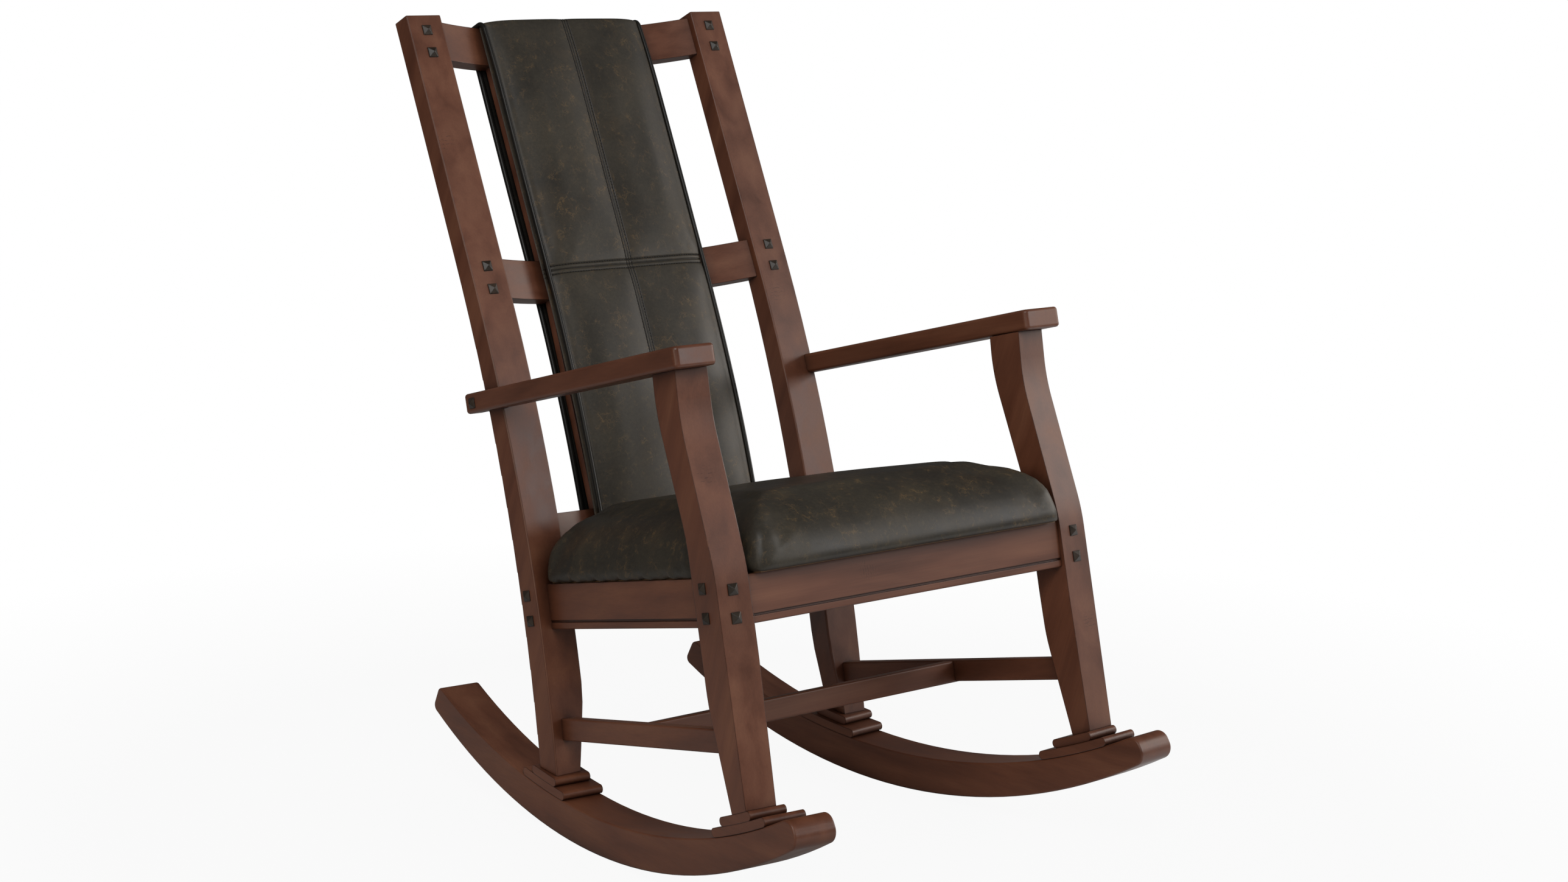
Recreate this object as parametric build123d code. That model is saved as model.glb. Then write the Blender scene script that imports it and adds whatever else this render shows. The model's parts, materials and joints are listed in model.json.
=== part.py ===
from build123d import *
import os
from math import sin, cos, tan, radians, degrees, sqrt, asin, atan2

# Rocking chair: stained hardwood frame, pegged joints, leather seat and back.
# Millimetres. X across the chair, +Y to the back, +Z up, floor at Z = 0.
# Heights are above the floor. Depths (y) are measured back from the front
# edge of the front feet and are shifted at export, so that the origin lies
# under the middle of the finished chair.
# The left side (as the sitter sees it) is modelled and mirrored to the right.

# ---------------------------------------------------------------- overall
HALF_WIDTH = 330.0          # outer face of a front foot from the middle
TOE_IN = 4.5                # side frames close towards the back, degrees
REST_TURN = 1.71             # about the axis of the rockers, to the pose in which the chair balances
FIT = 0.15                  # clearance per face of a wooden joint
SOFT_FIT = 0.3              # clearance between upholstery and its neighbours
EDGE = 2.5                  # eased edges of the frame members
EDGE_FLAT = 1.6             # flat planed on the posts' outer front edges

# ---------------------------------------------------------------- rockers
ROCKER_R = 945.0            # radius of the running edge
ROCKER_MID_Y = 362.0        # where the running edge touches the floor
ROCKER_TOP_R = 1004.0       # radius of the upper edge
ROCKER_MID_DEPTH = 52.0     # depth of section at the middle
ROCKER_WIDTH = 64.0
NOSE_ANGLE = 30.2           # ends, as angles at the centre of the running edge
TAIL_ANGLE = 28.3
NOSE_FLAT = 4.5             # between the two rounds of the nose
TAIL_ROUND = 10.0

# ---------------------------------------------------------------- foot blocks
BLOCK_THICK = 12.5
BLOCK_NOSE = 6.0            # bullnosed ends
LOWER_BLOCK_WIDTH = 64.0
UPPER_BLOCK_WIDTH = 57.0
FRONT_LOWER_LEN = 126.0
FRONT_UPPER_LEN = 73.0
FRONT_BLOCK_Y = 7.0
REAR_LOWER_LEN = 110.0
REAR_UPPER_LEN = 64.0
REAR_BLOCK_Y = 496.0
DOWEL_R = 6.0               # one dowel through each stack of blocks
DOWEL_UP = 34.0             # into the leg
DOWEL_DOWN = 22.0           # into the rocker

# ---------------------------------------------------------------- front legs
LEG_WIDTH = 51.0
LEG_FOOT_WIDTH = 47.0
LEG_SPLAY = 0.8             # legs lean outwards, degrees
LEG_TOE_Y = -21.5           # front edge where the outline starts, below the sole
LEG_TOE_Z = 50.0
LEG_TOE_CUT = 13.5          # the outline is narrower there than the foot
LEG_LEAN_LOW = 12.0         # front edge: three leans, degrees from upright
LEG_LEAN_MID = 21.5
LEG_LEAN_TOP = 9.0
LEG_FRONT_BEND_1 = 445.0    # heights where the front edge changes lean
LEG_FRONT_BEND_2 = 624.0
LEG_FOOT_DEPTH = 33.0       # the foot tapers from behind
LEG_BACK_LEAN_FOOT = 20.6
LEG_BACK_BEND_0 = 268.0
LEG_BACK_BEND_1 = 474.0
LEG_BACK_BEND_2 = 630.0
LEG_TOP = 720.0             # blank length, above the floor
LEG_TAPER_FOOT_Z = 150.0    # inner face: full taper below, full width from the next height up
LEG_TAPER_Z = 330.0
LEG_TOP_TAPER_Z = 600.0     # and a little narrower to the arm
LEG_TOP_TAPER = 2.0
LEG_BEND_R = 260.0
LEG_TENON_W = 28.0          # stub tenon into the arm
LEG_TENON_D = 24.0
LEG_TENON_H = 16.0

# ---------------------------------------------------------------- back posts
POST_INSET = 44.0           # outer face, in from the front foot's outer face
POST_OUT_X = HALF_WIDTH - POST_INSET
POST_WIDTH = 58.5
POST_FOOT_WIDTH = 41.0
POST_FOOT_TAPER_Z = 205.0   # the foot narrows below this height
POST_SOLE_FRONT = 470.0     # its flat sole, measured along the rocker
POST_SOLE_BACK = 520.0
POST_LEAN = 23.5            # straight upper part, degrees from upright
POST_REF_Y = 803.0          # a point on the front face of the upper part
POST_REF_Z = 1103.0
POST_THICK = 32.5
POST_TOP = 24.0             # top cut, above the reference point along the post
POST_FRONT_BEND_Z = 752.0   # below these heights the edges curve forwards
POST_FRONT_R = 2430.0
POST_BACK_BEND_Z = 790.0
POST_BACK_R = 2600.0
POST_TOP_ROUND = 5.0

# ---------------------------------------------------------------- back rails
RAIL_HEIGHT = 58.5
RAIL_THICK = 20.0
RAIL_SETBACK = 10.0         # behind the post front at the post
RAIL_BOW = 44.0             # how far the middle bows back
CREST_ALONG = -12.0         # centres along the post from the reference point
MID_ALONG = -372.0
LOWER_ALONG = -745.0
RAIL_TENON_T = 10.0
RAIL_TENON_H = 52.0
RAIL_TENON_L = 38.0
SPLAT_THICK = 12.5
SPLAT_EDGE = 3.5            # its long edges, inside the sides of the pad
SPLAT_SETBACK = 1.5         # behind the rail fronts
TONGUE_T = 6.0
TONGUE_L = 8.0

# ---------------------------------------------------------------- seat frame
SEAT_SLOPE = 11.0           # falls to the back, degrees
SEAT_REF_Y = 144.0          # a point of the plane of the apron tops
SEAT_REF_Z = 418.0
APRON_H = 63.5
APRON_T = 20.0
SIDE_ANGLE = 6.3            # side aprons and stretchers in plan
SIDE_REF_Y = 505.0          # where their middle plane meets the post middle
FRONT_APRON_Y = 61.0        # front face at the top edge
REAR_APRON_BACK = 9.0       # rear apron face behind the post front face
REAR_APRON_ALONG = -790.0   # along the post, where that is measured
BEAD_H = 9.5                # bead along the bottom edge
GROOVE_W = 3.0
GROOVE_D = 2.5
TENON_T = 10.0
TENON_INSET = 6.0           # tenon shoulders above and below
SIDE_TENON_L = 25.0
FRONT_TENON_L = 24.0
REAR_TENON_L = 21.0
CORNER_BLOCK_T = 24.0
CORNER_REACH = 92.0         # along the front apron
CORNER_SIDE = 53.0          # along the side apron
CORNER_REACH_REAR = 75.0
CORNER_SIDE_REAR = 64.0
BOARD_T = 15.0
BOARD_INSET = 10.0

# ---------------------------------------------------------------- stretchers
STRETCHER_H = 31.0
STRETCHER_T = 20.0
STRETCHER_REF_Y = 471.0     # top edge of the side stretchers
STRETCHER_REF_Z = 162.0
STRETCHER_SLOPE = 10.3
CROSS_Y = 262.0             # front face of the cross stretcher at its top
STRETCHER_TENON_L = 18.0
CROSS_TENON_L = 10.0

# ---------------------------------------------------------------- arms
ARM_THICK = 28.5
ARM_SLOPE = 13.2            # falls to the back, degrees
ARM_FRONT_Y = 126.5         # top front edge
ARM_FRONT_TOP_Z = 724.0
ARM_IN_FRONT_X = POST_OUT_X - 11.0
ARM_IN_BACK_X = POST_OUT_X - 14.5
ARM_OUT_FRONT_X = HALF_WIDTH + 12.0
ARM_OUT_BACK_X = POST_OUT_X + 13.5
ARM_BACK_Y = 662.0
ARM_CORNER = 7.0
ARM_TAIL_CORNER = 4.0
ARM_RIM = 4.5               # rounded rims of its top and underside
ARM_NOTCH_FIT = 0.3         # clearance before and behind the post in the arm's notch

# ---------------------------------------------------------------- pegs
PEG_HEAD = 14.5             # square pyramid heads
PEG_HEAD_EDGE = 1.2
PEG_RISE = 4.5
PEG_SHANK = 8.0
PEG_GAP = 34.0              # centre to centre of a pair
PEG_DROP = 4.0              # crest pair sits below the middle of the rail
TAIL_SHANK = 10.0
REAR_PEG_TURN = 13.0        # the rear side pegs follow the post
FRONT_PEG_DROP = 33.0       # below the top of the front apron
FRONT_PEG_GAP = 35.5
SIDE_PEG_Y = 85.0           # on the outer face of the leg
SIDE_PEG_DROP = 31.0
SIDE_PEG_GAP = 37.0
REAR_PEG_Y = 529.5          # on the outer face of the post
REAR_PEG_Z = 311.0
REAR_PEG_GAP = 34.5
PEG_STEM = 24.0             # shank lengths
LEG_PEG_STEM = 30.0
POST_PEG_STEM = 37.0
TAIL_PEG_STEM = 22.0
TAIL_PEG_IN = 20.5          # in from the end of the arm

# ---------------------------------------------------------------- upholstery
CUSHION_H = 91.0            # edge of the crown above the apron tops
CUSHION_CROWN = 3.0         # the middle is a little higher
CUSHION_SIDE_H = 16.0       # upright part of the side
CUSHION_OVER = 6.0          # beyond the outer face of the side apron
CUSHION_FRONT = 22.0        # in front of the front apron
CUSHION_REAR = 388.0        # along the seat from the reference point
CUSHION_ROUND = 76.0        # length over which the edge rounds into the crown
LEG_NOTCH_X = HALF_WIDTH - LEG_WIDTH - 6.0   # the cushion is cut out around the legs
LEG_NOTCH_Y = -20.0
POST_NOTCH_X = POST_OUT_X - POST_WIDTH - 3.5
POST_NOTCH_Y = 376.0
PAD_LOW = -782.0            # lower end of the back pad, along the post
PAD_HALF = 139.5
SPLAT_HALF = PAD_HALF - SPLAT_EDGE
PAD_FRONT = 12.5            # front surface behind the post front
PAD_CORNER = 11.0
PANEL_T = 4.0
COVER_T = 2.2               # leather of the back pad
ROLL_H = 5.6                # upholstery over the top of the crest rail
PIPING_R = 3.4
PIPING_CLEAR = 1.8          # piping clear of the rails' backs and tops
PIPING_TURN = 8.5           # radius of its turns over the crest rail

# ---------------------------------------------------------------- screws
SCREW_R = 2.2
SCREW_HEAD_R = 4.4
SCREW_L = 34.0
SCREW_HEAD_H = 2.6

D2R = radians


# ================================================================ helpers
def side_view(edges, x0, x1):
    """Solid between x0 and x1 whose side view is the outline given as (y, z)."""
    face = Plane.YZ.offset(x0) * make_face(edges)
    return extrude(face, amount=x1 - x0, dir=(1, 0, 0))


def polygon_side(points, x0, x1):
    return side_view(Polyline(*points, close=True).edges(), x0, x1)


def front_view(points, y0, y1):
    """Solid between y0 and y1 whose front view is the polygon given as (x, z)."""
    face = Face(Wire.make_polygon([Vector(x, y0, z) for x, z in points], close=True))
    return extrude(face, amount=y1 - y0, dir=(0, 1, 0))


def block(x0, x1, y0, y1, z0, z1):
    return Pos((x0 + x1) / 2, (y0 + y1) / 2, (z0 + z1) / 2) * Box(x1 - x0, y1 - y0, z1 - z0)


def biggest(shape):
    return max(shape.solids(), key=lambda s: s.volume)


def ease(shape, edges, radius):
    """Round the edges; a group that will not take the radius gets a smaller one."""
    for r in (radius, radius * 0.6, radius * 0.3):
        try:
            return fillet(edges, r)
        except Exception:
            continue
    return shape


def mirrored(shape):
    return mirror(shape, about=Plane.YZ)


def solids_of(*shapes):
    found = []
    for shape in shapes:
        found += list(shape.solids())
    return Compound(found) if len(found) > 1 else found[0]


SAVED = {}


def save(node, shape):
    SAVED[node] = shape


def save_pair(node, shape):
    """Left as modelled, right mirrored."""
    save(node + "_left", shape)
    save(node + "_right", mirrored(shape))


# ================================================================ frames
TOED = Location((HALF_WIDTH, 0, 0), (0, 0, TOE_IN))
SPLAYED = TOED * Location((0, 0, 150), (0, LEG_SPLAY, 0)) * Location((0, 0, -150))
POST_MID_X = POST_OUT_X - POST_WIDTH / 2
SIDE_FRAME = Location((POST_MID_X, SIDE_REF_Y, 0), (0, 0, SIDE_ANGLE))
SEAT_FRAME = Location((0, SEAT_REF_Y, SEAT_REF_Z), (-SEAT_SLOPE, 0, 0))

LEAN = D2R(POST_LEAN)
FRONT_BEND_ALONG = (POST_FRONT_BEND_Z - POST_REF_Z) / cos(LEAN)


def post_angle(along):
    """Lean (radians) of the post front at a distance along it."""
    if along >= FRONT_BEND_ALONG:
        return LEAN
    return LEAN - (FRONT_BEND_ALONG - along) / POST_FRONT_R


def back_point(depth, along):
    """(y, z) of a point at a depth behind the post front and a distance along it."""
    if along >= FRONT_BEND_ALONG:
        y = POST_REF_Y + along * sin(LEAN) + depth * cos(LEAN)
        z = POST_REF_Z + along * cos(LEAN) - depth * sin(LEAN)
        return y, z
    a = post_angle(along)
    cy = POST_REF_Y + FRONT_BEND_ALONG * sin(LEAN) + POST_FRONT_R * cos(LEAN)
    cz = POST_REF_Z + FRONT_BEND_ALONG * cos(LEAN) - POST_FRONT_R * sin(LEAN)
    return cy - cos(a) * (POST_FRONT_R - depth), cz + sin(a) * (POST_FRONT_R - depth)


def back_run(depth, top, bottom):
    """Edges following the back at one depth, from the top down: straight, then curved."""
    a = back_point(depth, top)
    bend = back_point(depth, FRONT_BEND_ALONG)
    low = back_point(depth, bottom)
    mid = back_point(depth, (FRONT_BEND_ALONG + bottom) / 2)
    return [Line(a, bend), ThreePointArc(bend, mid, low)]


def back_frame(along):
    """Frame on the post front: X across, Y into the post, Z up along it."""
    y, z = back_point(0, along)
    return Location((0, y, z), (-degrees(post_angle(along)), 0, 0))


BOW_R = ((POST_OUT_X - POST_WIDTH) ** 2 + RAIL_BOW ** 2) / (2 * RAIL_BOW)
BOW_CY = RAIL_SETBACK + RAIL_BOW - BOW_R


def bowed(front, thick, half, z0, z1):
    """Board bowed like the rails, in a back frame; front = depth behind the rail front."""
    r0 = BOW_R + front
    r1 = r0 + thick
    ring = Pos(0, BOW_CY, (z0 + z1) / 2) * (Cylinder(r1, z1 - z0) - Cylinder(r0, z1 - z0))
    keep = block(-half, half, BOW_CY + BOW_R * 0.5, BOW_CY + r1 + 5, z0, z1)
    return biggest(ring & keep)


# ================================================================ rockers
def end_depth(angle):
    """Depth of the rocker at an angle from its middle, along the running edge's radius."""
    drop = ROCKER_MID_DEPTH + ROCKER_TOP_R - ROCKER_R
    reach = sqrt(ROCKER_TOP_R ** 2 - (drop * sin(D2R(angle))) ** 2) - drop * cos(D2R(angle))
    return ROCKER_R - reach


def rocker_profile():
    cy, cz = ROCKER_MID_Y, ROCKER_R
    tz = ROCKER_MID_DEPTH + ROCKER_TOP_R
    big = Pos(0, cy, cz) * Rot(0, 90, 0) * Cylinder(ROCKER_R, ROCKER_WIDTH)
    cut = Pos(0, cy, tz) * Rot(0, 90, 0) * Cylinder(ROCKER_TOP_R, ROCKER_WIDTH + 2)
    reach = ROCKER_R * 1.2
    nose = (cy - reach * sin(D2R(NOSE_ANGLE)), cz - reach * cos(D2R(NOSE_ANGLE)))
    tail = (cy + reach * sin(D2R(TAIL_ANGLE)), cz - reach * cos(D2R(TAIL_ANGLE)))
    wedge = polygon_side([(cy, cz), nose, (cy, cz - reach * 1.1), tail],
                         -ROCKER_WIDTH / 2, ROCKER_WIDTH / 2)
    body = biggest((big - cut) & wedge)
    ends = body.edges().filter_by(Axis.X).sort_by(Axis.Y)
    body = fillet(ends[:2], (end_depth(NOSE_ANGLE) - NOSE_FLAT) / 2)
    ends = body.edges().filter_by(Axis.X).sort_by(Axis.Y)
    body = fillet(ends[-2:], TAIL_ROUND)
    body = Pos(-ROCKER_WIDTH / 2, 0, 0) * body
    long_edges = [e for e in body.edges()
                  if abs(e.bounding_box().size.X) < 0.01 and e.length > 15]
    return ease(body, long_edges, EDGE)


def above_rocker(lift):
    """Everything above the rocker's top surface raised by lift, in the toed frame."""
    tz = ROCKER_MID_DEPTH + ROCKER_TOP_R
    return Pos(-40, ROCKER_MID_Y, tz) * Rot(0, 90, 0) * Cylinder(ROCKER_TOP_R - lift, 400)


def seat_on_rocker(y, lift):
    """Height and slope (radians) of the raised rocker top at y."""
    dy = y - ROCKER_MID_Y
    r = ROCKER_TOP_R - lift
    h = ROCKER_MID_DEPTH + ROCKER_TOP_R - sqrt(r * r - dy * dy)
    return h, asin(dy / r)


def above_chord(y_a, y_b, lift):
    """Everything above the chord between two points of the raised rocker top, in the toed frame."""
    h_a = seat_on_rocker(y_a, lift)[0]
    h_b = seat_on_rocker(y_b, lift)[0]
    slope = (h_b - h_a) / (y_b - y_a)
    return polygon_side([(y_a - 200, h_a - 200 * slope), (y_b + 600, h_b + 600 * slope),
                         (y_b + 600, 1500), (y_a - 200, 1500)], -400, 200)


def foot_block(y, length, width, level):
    """One tier of a stepped foot block, curved to lie on the rocker."""
    lift = level * BLOCK_THICK
    ring = above_rocker(lift) - above_rocker(lift + BLOCK_THICK)
    dy = y - ROCKER_MID_Y
    tz = ROCKER_MID_DEPTH + ROCKER_TOP_R
    half = length / 2 / ROCKER_TOP_R
    mid = dy / ROCKER_TOP_R
    reach = ROCKER_TOP_R * 1.1
    a, b = mid - half, mid + half
    wedge = polygon_side([(ROCKER_MID_Y, tz),
                          (ROCKER_MID_Y + reach * sin(a), tz - reach * cos(a)),
                          (ROCKER_MID_Y + reach * sin(b), tz - reach * cos(b))],
                         -width, 0)
    tier = biggest(ring & wedge)
    across = tier.edges().filter_by(Axis.X)
    return ease(tier, across, BLOCK_NOSE * 0.98)


def foot_dowel(y, x):
    """Dowel square to the rocker top, through both tiers."""
    h, slope = seat_on_rocker(y, 2 * BLOCK_THICK)
    length = DOWEL_UP + DOWEL_DOWN + 2 * BLOCK_THICK
    centre = (DOWEL_UP - DOWEL_DOWN - 2 * BLOCK_THICK) / 2
    tilt = Location((x, y, h), (degrees(slope), 0, 0))
    return tilt, length, centre


def dowel_solid(y, x, grow=0.0):
    tilt, length, centre = foot_dowel(y, x)
    return tilt * Pos(0, 0, centre) * Cylinder(DOWEL_R + grow, length + 6 * grow)


rocker = rocker_profile()
front_low = foot_block(FRONT_BLOCK_Y, FRONT_LOWER_LEN, LOWER_BLOCK_WIDTH, 0)
front_up = foot_block(FRONT_BLOCK_Y + 3, FRONT_UPPER_LEN, UPPER_BLOCK_WIDTH, 1)
rear_low = foot_block(REAR_BLOCK_Y, REAR_LOWER_LEN, LOWER_BLOCK_WIDTH, 0)
rear_up = foot_block(REAR_BLOCK_Y, REAR_UPPER_LEN, UPPER_BLOCK_WIDTH, 1)
FRONT_DOWEL = (16.0, -LEG_FOOT_WIDTH / 2)
REAR_DOWEL = (498.0, -26.0)
dowels = [TOED * dowel_solid(*FRONT_DOWEL), TOED * dowel_solid(*REAR_DOWEL)]
dowel_holes = [TOED * dowel_solid(*FRONT_DOWEL, grow=FIT), TOED * dowel_solid(*REAR_DOWEL, grow=FIT)]
rocker = TOED * rocker
front_low = TOED * front_low
front_up = TOED * front_up
rear_low = TOED * rear_low
rear_up = TOED * rear_up
for hole in dowel_holes:
    rocker = rocker - hole
front_low = front_low - dowel_holes[0]
front_up = front_up - dowel_holes[0]
rear_low = rear_low - dowel_holes[1]
rear_up = rear_up - dowel_holes[1]


# ================================================================ front leg
def lean_path(y, z, steps):
    """Points of an edge climbing through (top height, lean) steps."""
    points = [(y, z)]
    for top, lean in steps:
        y += (top - z) * tan(D2R(lean))
        z = top
        points.append((y, z))
    return points


leg_front = lean_path(LEG_TOE_Y, LEG_TOE_Z, [(LEG_FRONT_BEND_1, LEG_LEAN_LOW),
                                             (LEG_FRONT_BEND_2, LEG_LEAN_MID),
                                             (LEG_TOP, LEG_LEAN_TOP)])
leg_back = lean_path(LEG_TOE_Y + LEG_FOOT_DEPTH - LEG_TOE_CUT, LEG_TOE_Z,
                     [(LEG_BACK_BEND_0, LEG_BACK_LEAN_FOOT),
                      (LEG_BACK_BEND_1, LEG_LEAN_LOW),
                      (LEG_BACK_BEND_2, LEG_LEAN_MID + 1),
                      (LEG_TOP, LEG_LEAN_TOP)])


def leg_solid():
    outline = leg_front + leg_back[::-1]
    body = polygon_side(outline, -LEG_WIDTH, 0)
    bends = []
    for y, z in leg_front[1:-1] + leg_back[1:-1]:
        bends += [e for e in body.edges().filter_by(Axis.X)
                  if abs(e.center().Y - y) < 0.1 and abs(e.center().Z - z) < 0.1]
    body = ease(body, bends, LEG_BEND_R)
    # the inner face tapers to the foot and a little to the arm
    shape = front_view([(0, LEG_TOE_Z - 10), (-LEG_FOOT_WIDTH + 1, LEG_TOE_Z - 10),
                        (-LEG_FOOT_WIDTH, LEG_TAPER_FOOT_Z), (-LEG_WIDTH, LEG_TAPER_Z),
                        (-LEG_WIDTH, LEG_TOP_TAPER_Z), (-LEG_WIDTH + LEG_TOP_TAPER, LEG_TOP),
                        (0, LEG_TOP)], -LEG_WIDTH * 2, LEG_TOP)
    body = biggest(body & shape)
    return body


ARM_TAN = tan(D2R(ARM_SLOPE))


def arm_prism(z_low, z_high, grow=0.0, y0=None):
    """Region between two planes parallel to the arm, heights measured at the arm front."""
    y_a = -200.0
    y_b = 900.0
    top_a = ARM_FRONT_TOP_Z + (ARM_FRONT_Y - y_a) * ARM_TAN
    top_b = ARM_FRONT_TOP_Z + (ARM_FRONT_Y - y_b) * ARM_TAN
    return polygon_side([(y_a, top_a + z_low), (y_a, top_a + z_high),
                         (y_b, top_b + z_high), (y_b, top_b + z_low)], 100, 500)


ARM_VERT = ARM_THICK / cos(D2R(ARM_SLOPE))
leg = SPLAYED * leg_solid()
below_arm = arm_prism(-800, -ARM_VERT)
leg = biggest(leg & below_arm)
leg = biggest(leg & (TOED * above_rocker(2 * BLOCK_THICK)))
long_edges = [e for e in leg.edges() if e.length > 60]
leg = ease(leg, long_edges, EDGE)
leg_body = leg

# stub tenon into the arm, square to the leg top
tenon_y = (leg_front[-1][0] + leg_back[-1][0]) / 2
arm_tenon = SPLAYED * block(-LEG_WIDTH / 2 - LEG_TENON_W / 2, -LEG_WIDTH / 2 + LEG_TENON_W / 2,
                            tenon_y - LEG_TENON_D / 2 - 3, tenon_y + LEG_TENON_D / 2 - 3,
                            600, 800)
arm_tenon = arm_tenon & arm_prism(-ARM_VERT - 6, -ARM_VERT + LEG_TENON_H)


# ================================================================ back post
def post_outline():
    """Side view: front edge and back edge, each straight above and curved below."""
    top_y, top_z = back_point(0, POST_TOP)
    bend_y, bend_z = back_point(0, FRONT_BEND_ALONG)
    low_y, low_z = back_point(0, -1180)
    mid_y, mid_z = back_point(0, (FRONT_BEND_ALONG - 1180) / 2)
    c, s = cos(LEAN), sin(LEAN)
    back_top = (top_y + POST_THICK * c, top_z - POST_THICK * s)
    run = (POST_BACK_BEND_Z - back_top[1]) / c
    back_bend = (back_top[0] + run * s, POST_BACK_BEND_Z)
    centre = (back_bend[0] + POST_BACK_R * c, back_bend[1] - POST_BACK_R * s)
    ends = []
    for length in (370.0, 745.0):
        a = LEAN - length / POST_BACK_R
        ends.append((centre[0] - POST_BACK_R * cos(a), centre[1] + POST_BACK_R * sin(a)))
    edges = [Line((top_y, top_z), (bend_y, bend_z)),
             ThreePointArc((bend_y, bend_z), (mid_y, mid_z), (low_y, low_z)),
             Line((low_y, low_z), ends[1]),
             ThreePointArc(ends[1], ends[0], back_bend),
             Line(back_bend, back_top),
             Line(back_top, (top_y, top_z))]
    return edges


POST_IN_X = POST_OUT_X - POST_WIDTH
post = side_view(post_outline(), POST_IN_X, POST_OUT_X)
foot_in = POST_OUT_X - POST_FOOT_WIDTH
post_shape = front_view([(POST_OUT_X, 0), (foot_in + 3, 0), (foot_in, 80),
                         (POST_IN_X + 2, POST_FOOT_TAPER_Z - 28),
                         (POST_IN_X, POST_FOOT_TAPER_Z), (POST_IN_X, 1300),
                         (POST_OUT_X, 1300)], 200, 1100)
post = biggest(post & post_shape)
post_blank = post
long_edges = [e for e in post.edges() if e.length > 120]
outer_edges = [e for e in long_edges if abs(e.center().X - POST_OUT_X) < 1]
outer_edges.sort(key=lambda e: e.center().Z)
# the two outer edges at the front are planed to a flat, the other long edges are rounded
flats = [min(pair, key=lambda e: e.center().Y).center() for pair in (outer_edges[:2], outer_edges[2:])]
rounded = [e for e in long_edges if all((e.center() - c).length > 1 for c in flats)]
post = ease(post, rounded, EDGE)
planed = [e for e in post.edges() if e.length > 120 and any((e.center() - c).length < 6 for c in flats)]
post = chamfer(planed, EDGE_FLAT)
post = biggest(post & (TOED * above_chord(POST_SOLE_FRONT, POST_SOLE_BACK, 2 * BLOCK_THICK)))
top_face = post.faces().sort_by(Axis.Z)[-1]
post = ease(post, top_face.edges(), POST_TOP_ROUND)
post_body = post


# ================================================================ joints
def long_bar(frame, x0, x1, y0, y1, z0, z1, grow=0.0, ends="y"):
    """Bar in a frame; grown by a clearance on its faces and 1 mm on its ends."""
    end = 1.0 if grow else 0.0
    gx, gy = (grow, end) if ends == "y" else (end, grow)
    return frame * block(x0 - gx, x1 + gx, y0 - gy, y1 + gy, z0 - grow, z1 + grow)


def between(bar, *neighbours):
    """Shoulder a bar against its neighbours; keeps the piece between them."""
    for n in neighbours:
        bar = bar - n
    return biggest(bar)


half_a = APRON_T / 2
half_t = TENON_T / 2
half_s = STRETCHER_T / 2
COS_SIDE = cos(D2R(SIDE_ANGLE))


def side_slope_frame(y_ref, z_ref, slope):
    """Frame in the vertical plane of the side aprons, Y along their slope."""
    return SIDE_FRAME * Location((0, (y_ref - SIDE_REF_Y) / COS_SIDE, z_ref), (-slope, 0, 0))


# ---- side apron: leg back face to post front face
APRON_AT = side_slope_frame(SEAT_REF_Y, SEAT_REF_Z - 0.25, SEAT_SLOPE)
leg_face = -38.0            # leg back and post front along the apron
post_face = 373.0
side_apron = between(long_bar(APRON_AT, -half_a, half_a, leg_face - 12, post_face + 14, -APRON_H, 0),
                     leg_body, post_body)
groove = long_bar(APRON_AT, half_a - GROOVE_D, half_a + 2, -80, 420,
                  -APRON_H + BEAD_H, -APRON_H + BEAD_H + GROOVE_W)
side_apron = biggest(side_apron - groove)
rims = sorted([e for e in side_apron.edges() if e.length > 300], key=lambda e: e.center().Z)
side_apron = side_apron.fillet(EDGE, rims[:2])      # the bottom edges; the groove's stay crisp
side_tenon = [long_bar(APRON_AT, -half_t, half_t, leg_face - SIDE_TENON_L, post_face + SIDE_TENON_L,
                       -APRON_H + TENON_INSET, -TENON_INSET, g) for g in (0, FIT)]
side_apron = side_apron + side_tenon[0]

# ---- front apron between the legs, square to the seat slope
y_f = (FRONT_APRON_Y - SEAT_REF_Y) / cos(D2R(SEAT_SLOPE))
leg_in = HALF_WIDTH - LEG_WIDTH - 1.0
right_leg = mirrored(leg_body)
front_apron = between(long_bar(SEAT_FRAME, -leg_in - 10, leg_in + 10, y_f, y_f + APRON_T, -APRON_H, 0),
                      leg_body, right_leg)
groove = long_bar(SEAT_FRAME, -400, 400, y_f - 2, y_f + GROOVE_D,
                  -APRON_H + BEAD_H, -APRON_H + BEAD_H + GROOVE_W)
front_apron = biggest(front_apron - groove)
rims = sorted([e for e in front_apron.edges().filter_by(Axis.X) if e.length > 300],
              key=lambda e: e.center().Z)
front_apron = front_apron.fillet(EDGE, rims[:2])
front_tenon = [long_bar(SEAT_FRAME, -leg_in - FRONT_TENON_L, leg_in + FRONT_TENON_L,
                        y_f + half_t, y_f + half_t + TENON_T,
                        -APRON_H + TENON_INSET, -TENON_INSET, g, "x") for g in (0, FIT)]
front_apron = front_apron + front_tenon[0]

# ---- rear apron between the posts
rear_y, rear_z = back_point(REAR_APRON_BACK, REAR_APRON_ALONG)
y_r = (rear_y - SEAT_REF_Y) / cos(D2R(SEAT_SLOPE)) + 6.0
right_post = mirrored(post_body)
rear_apron = between(long_bar(SEAT_FRAME, -POST_IN_X - 8, POST_IN_X + 8, y_r, y_r + APRON_T, -APRON_H, 0),
                     post_body, right_post)
rear_tenon = [long_bar(SEAT_FRAME, -POST_IN_X - REAR_TENON_L, POST_IN_X + REAR_TENON_L,
                       y_r + half_t, y_r + half_t + TENON_T,
                       -APRON_H + TENON_INSET, -TENON_INSET, g, "x") for g in (0, FIT)]
rear_apron = rear_apron + rear_tenon[0]

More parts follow.
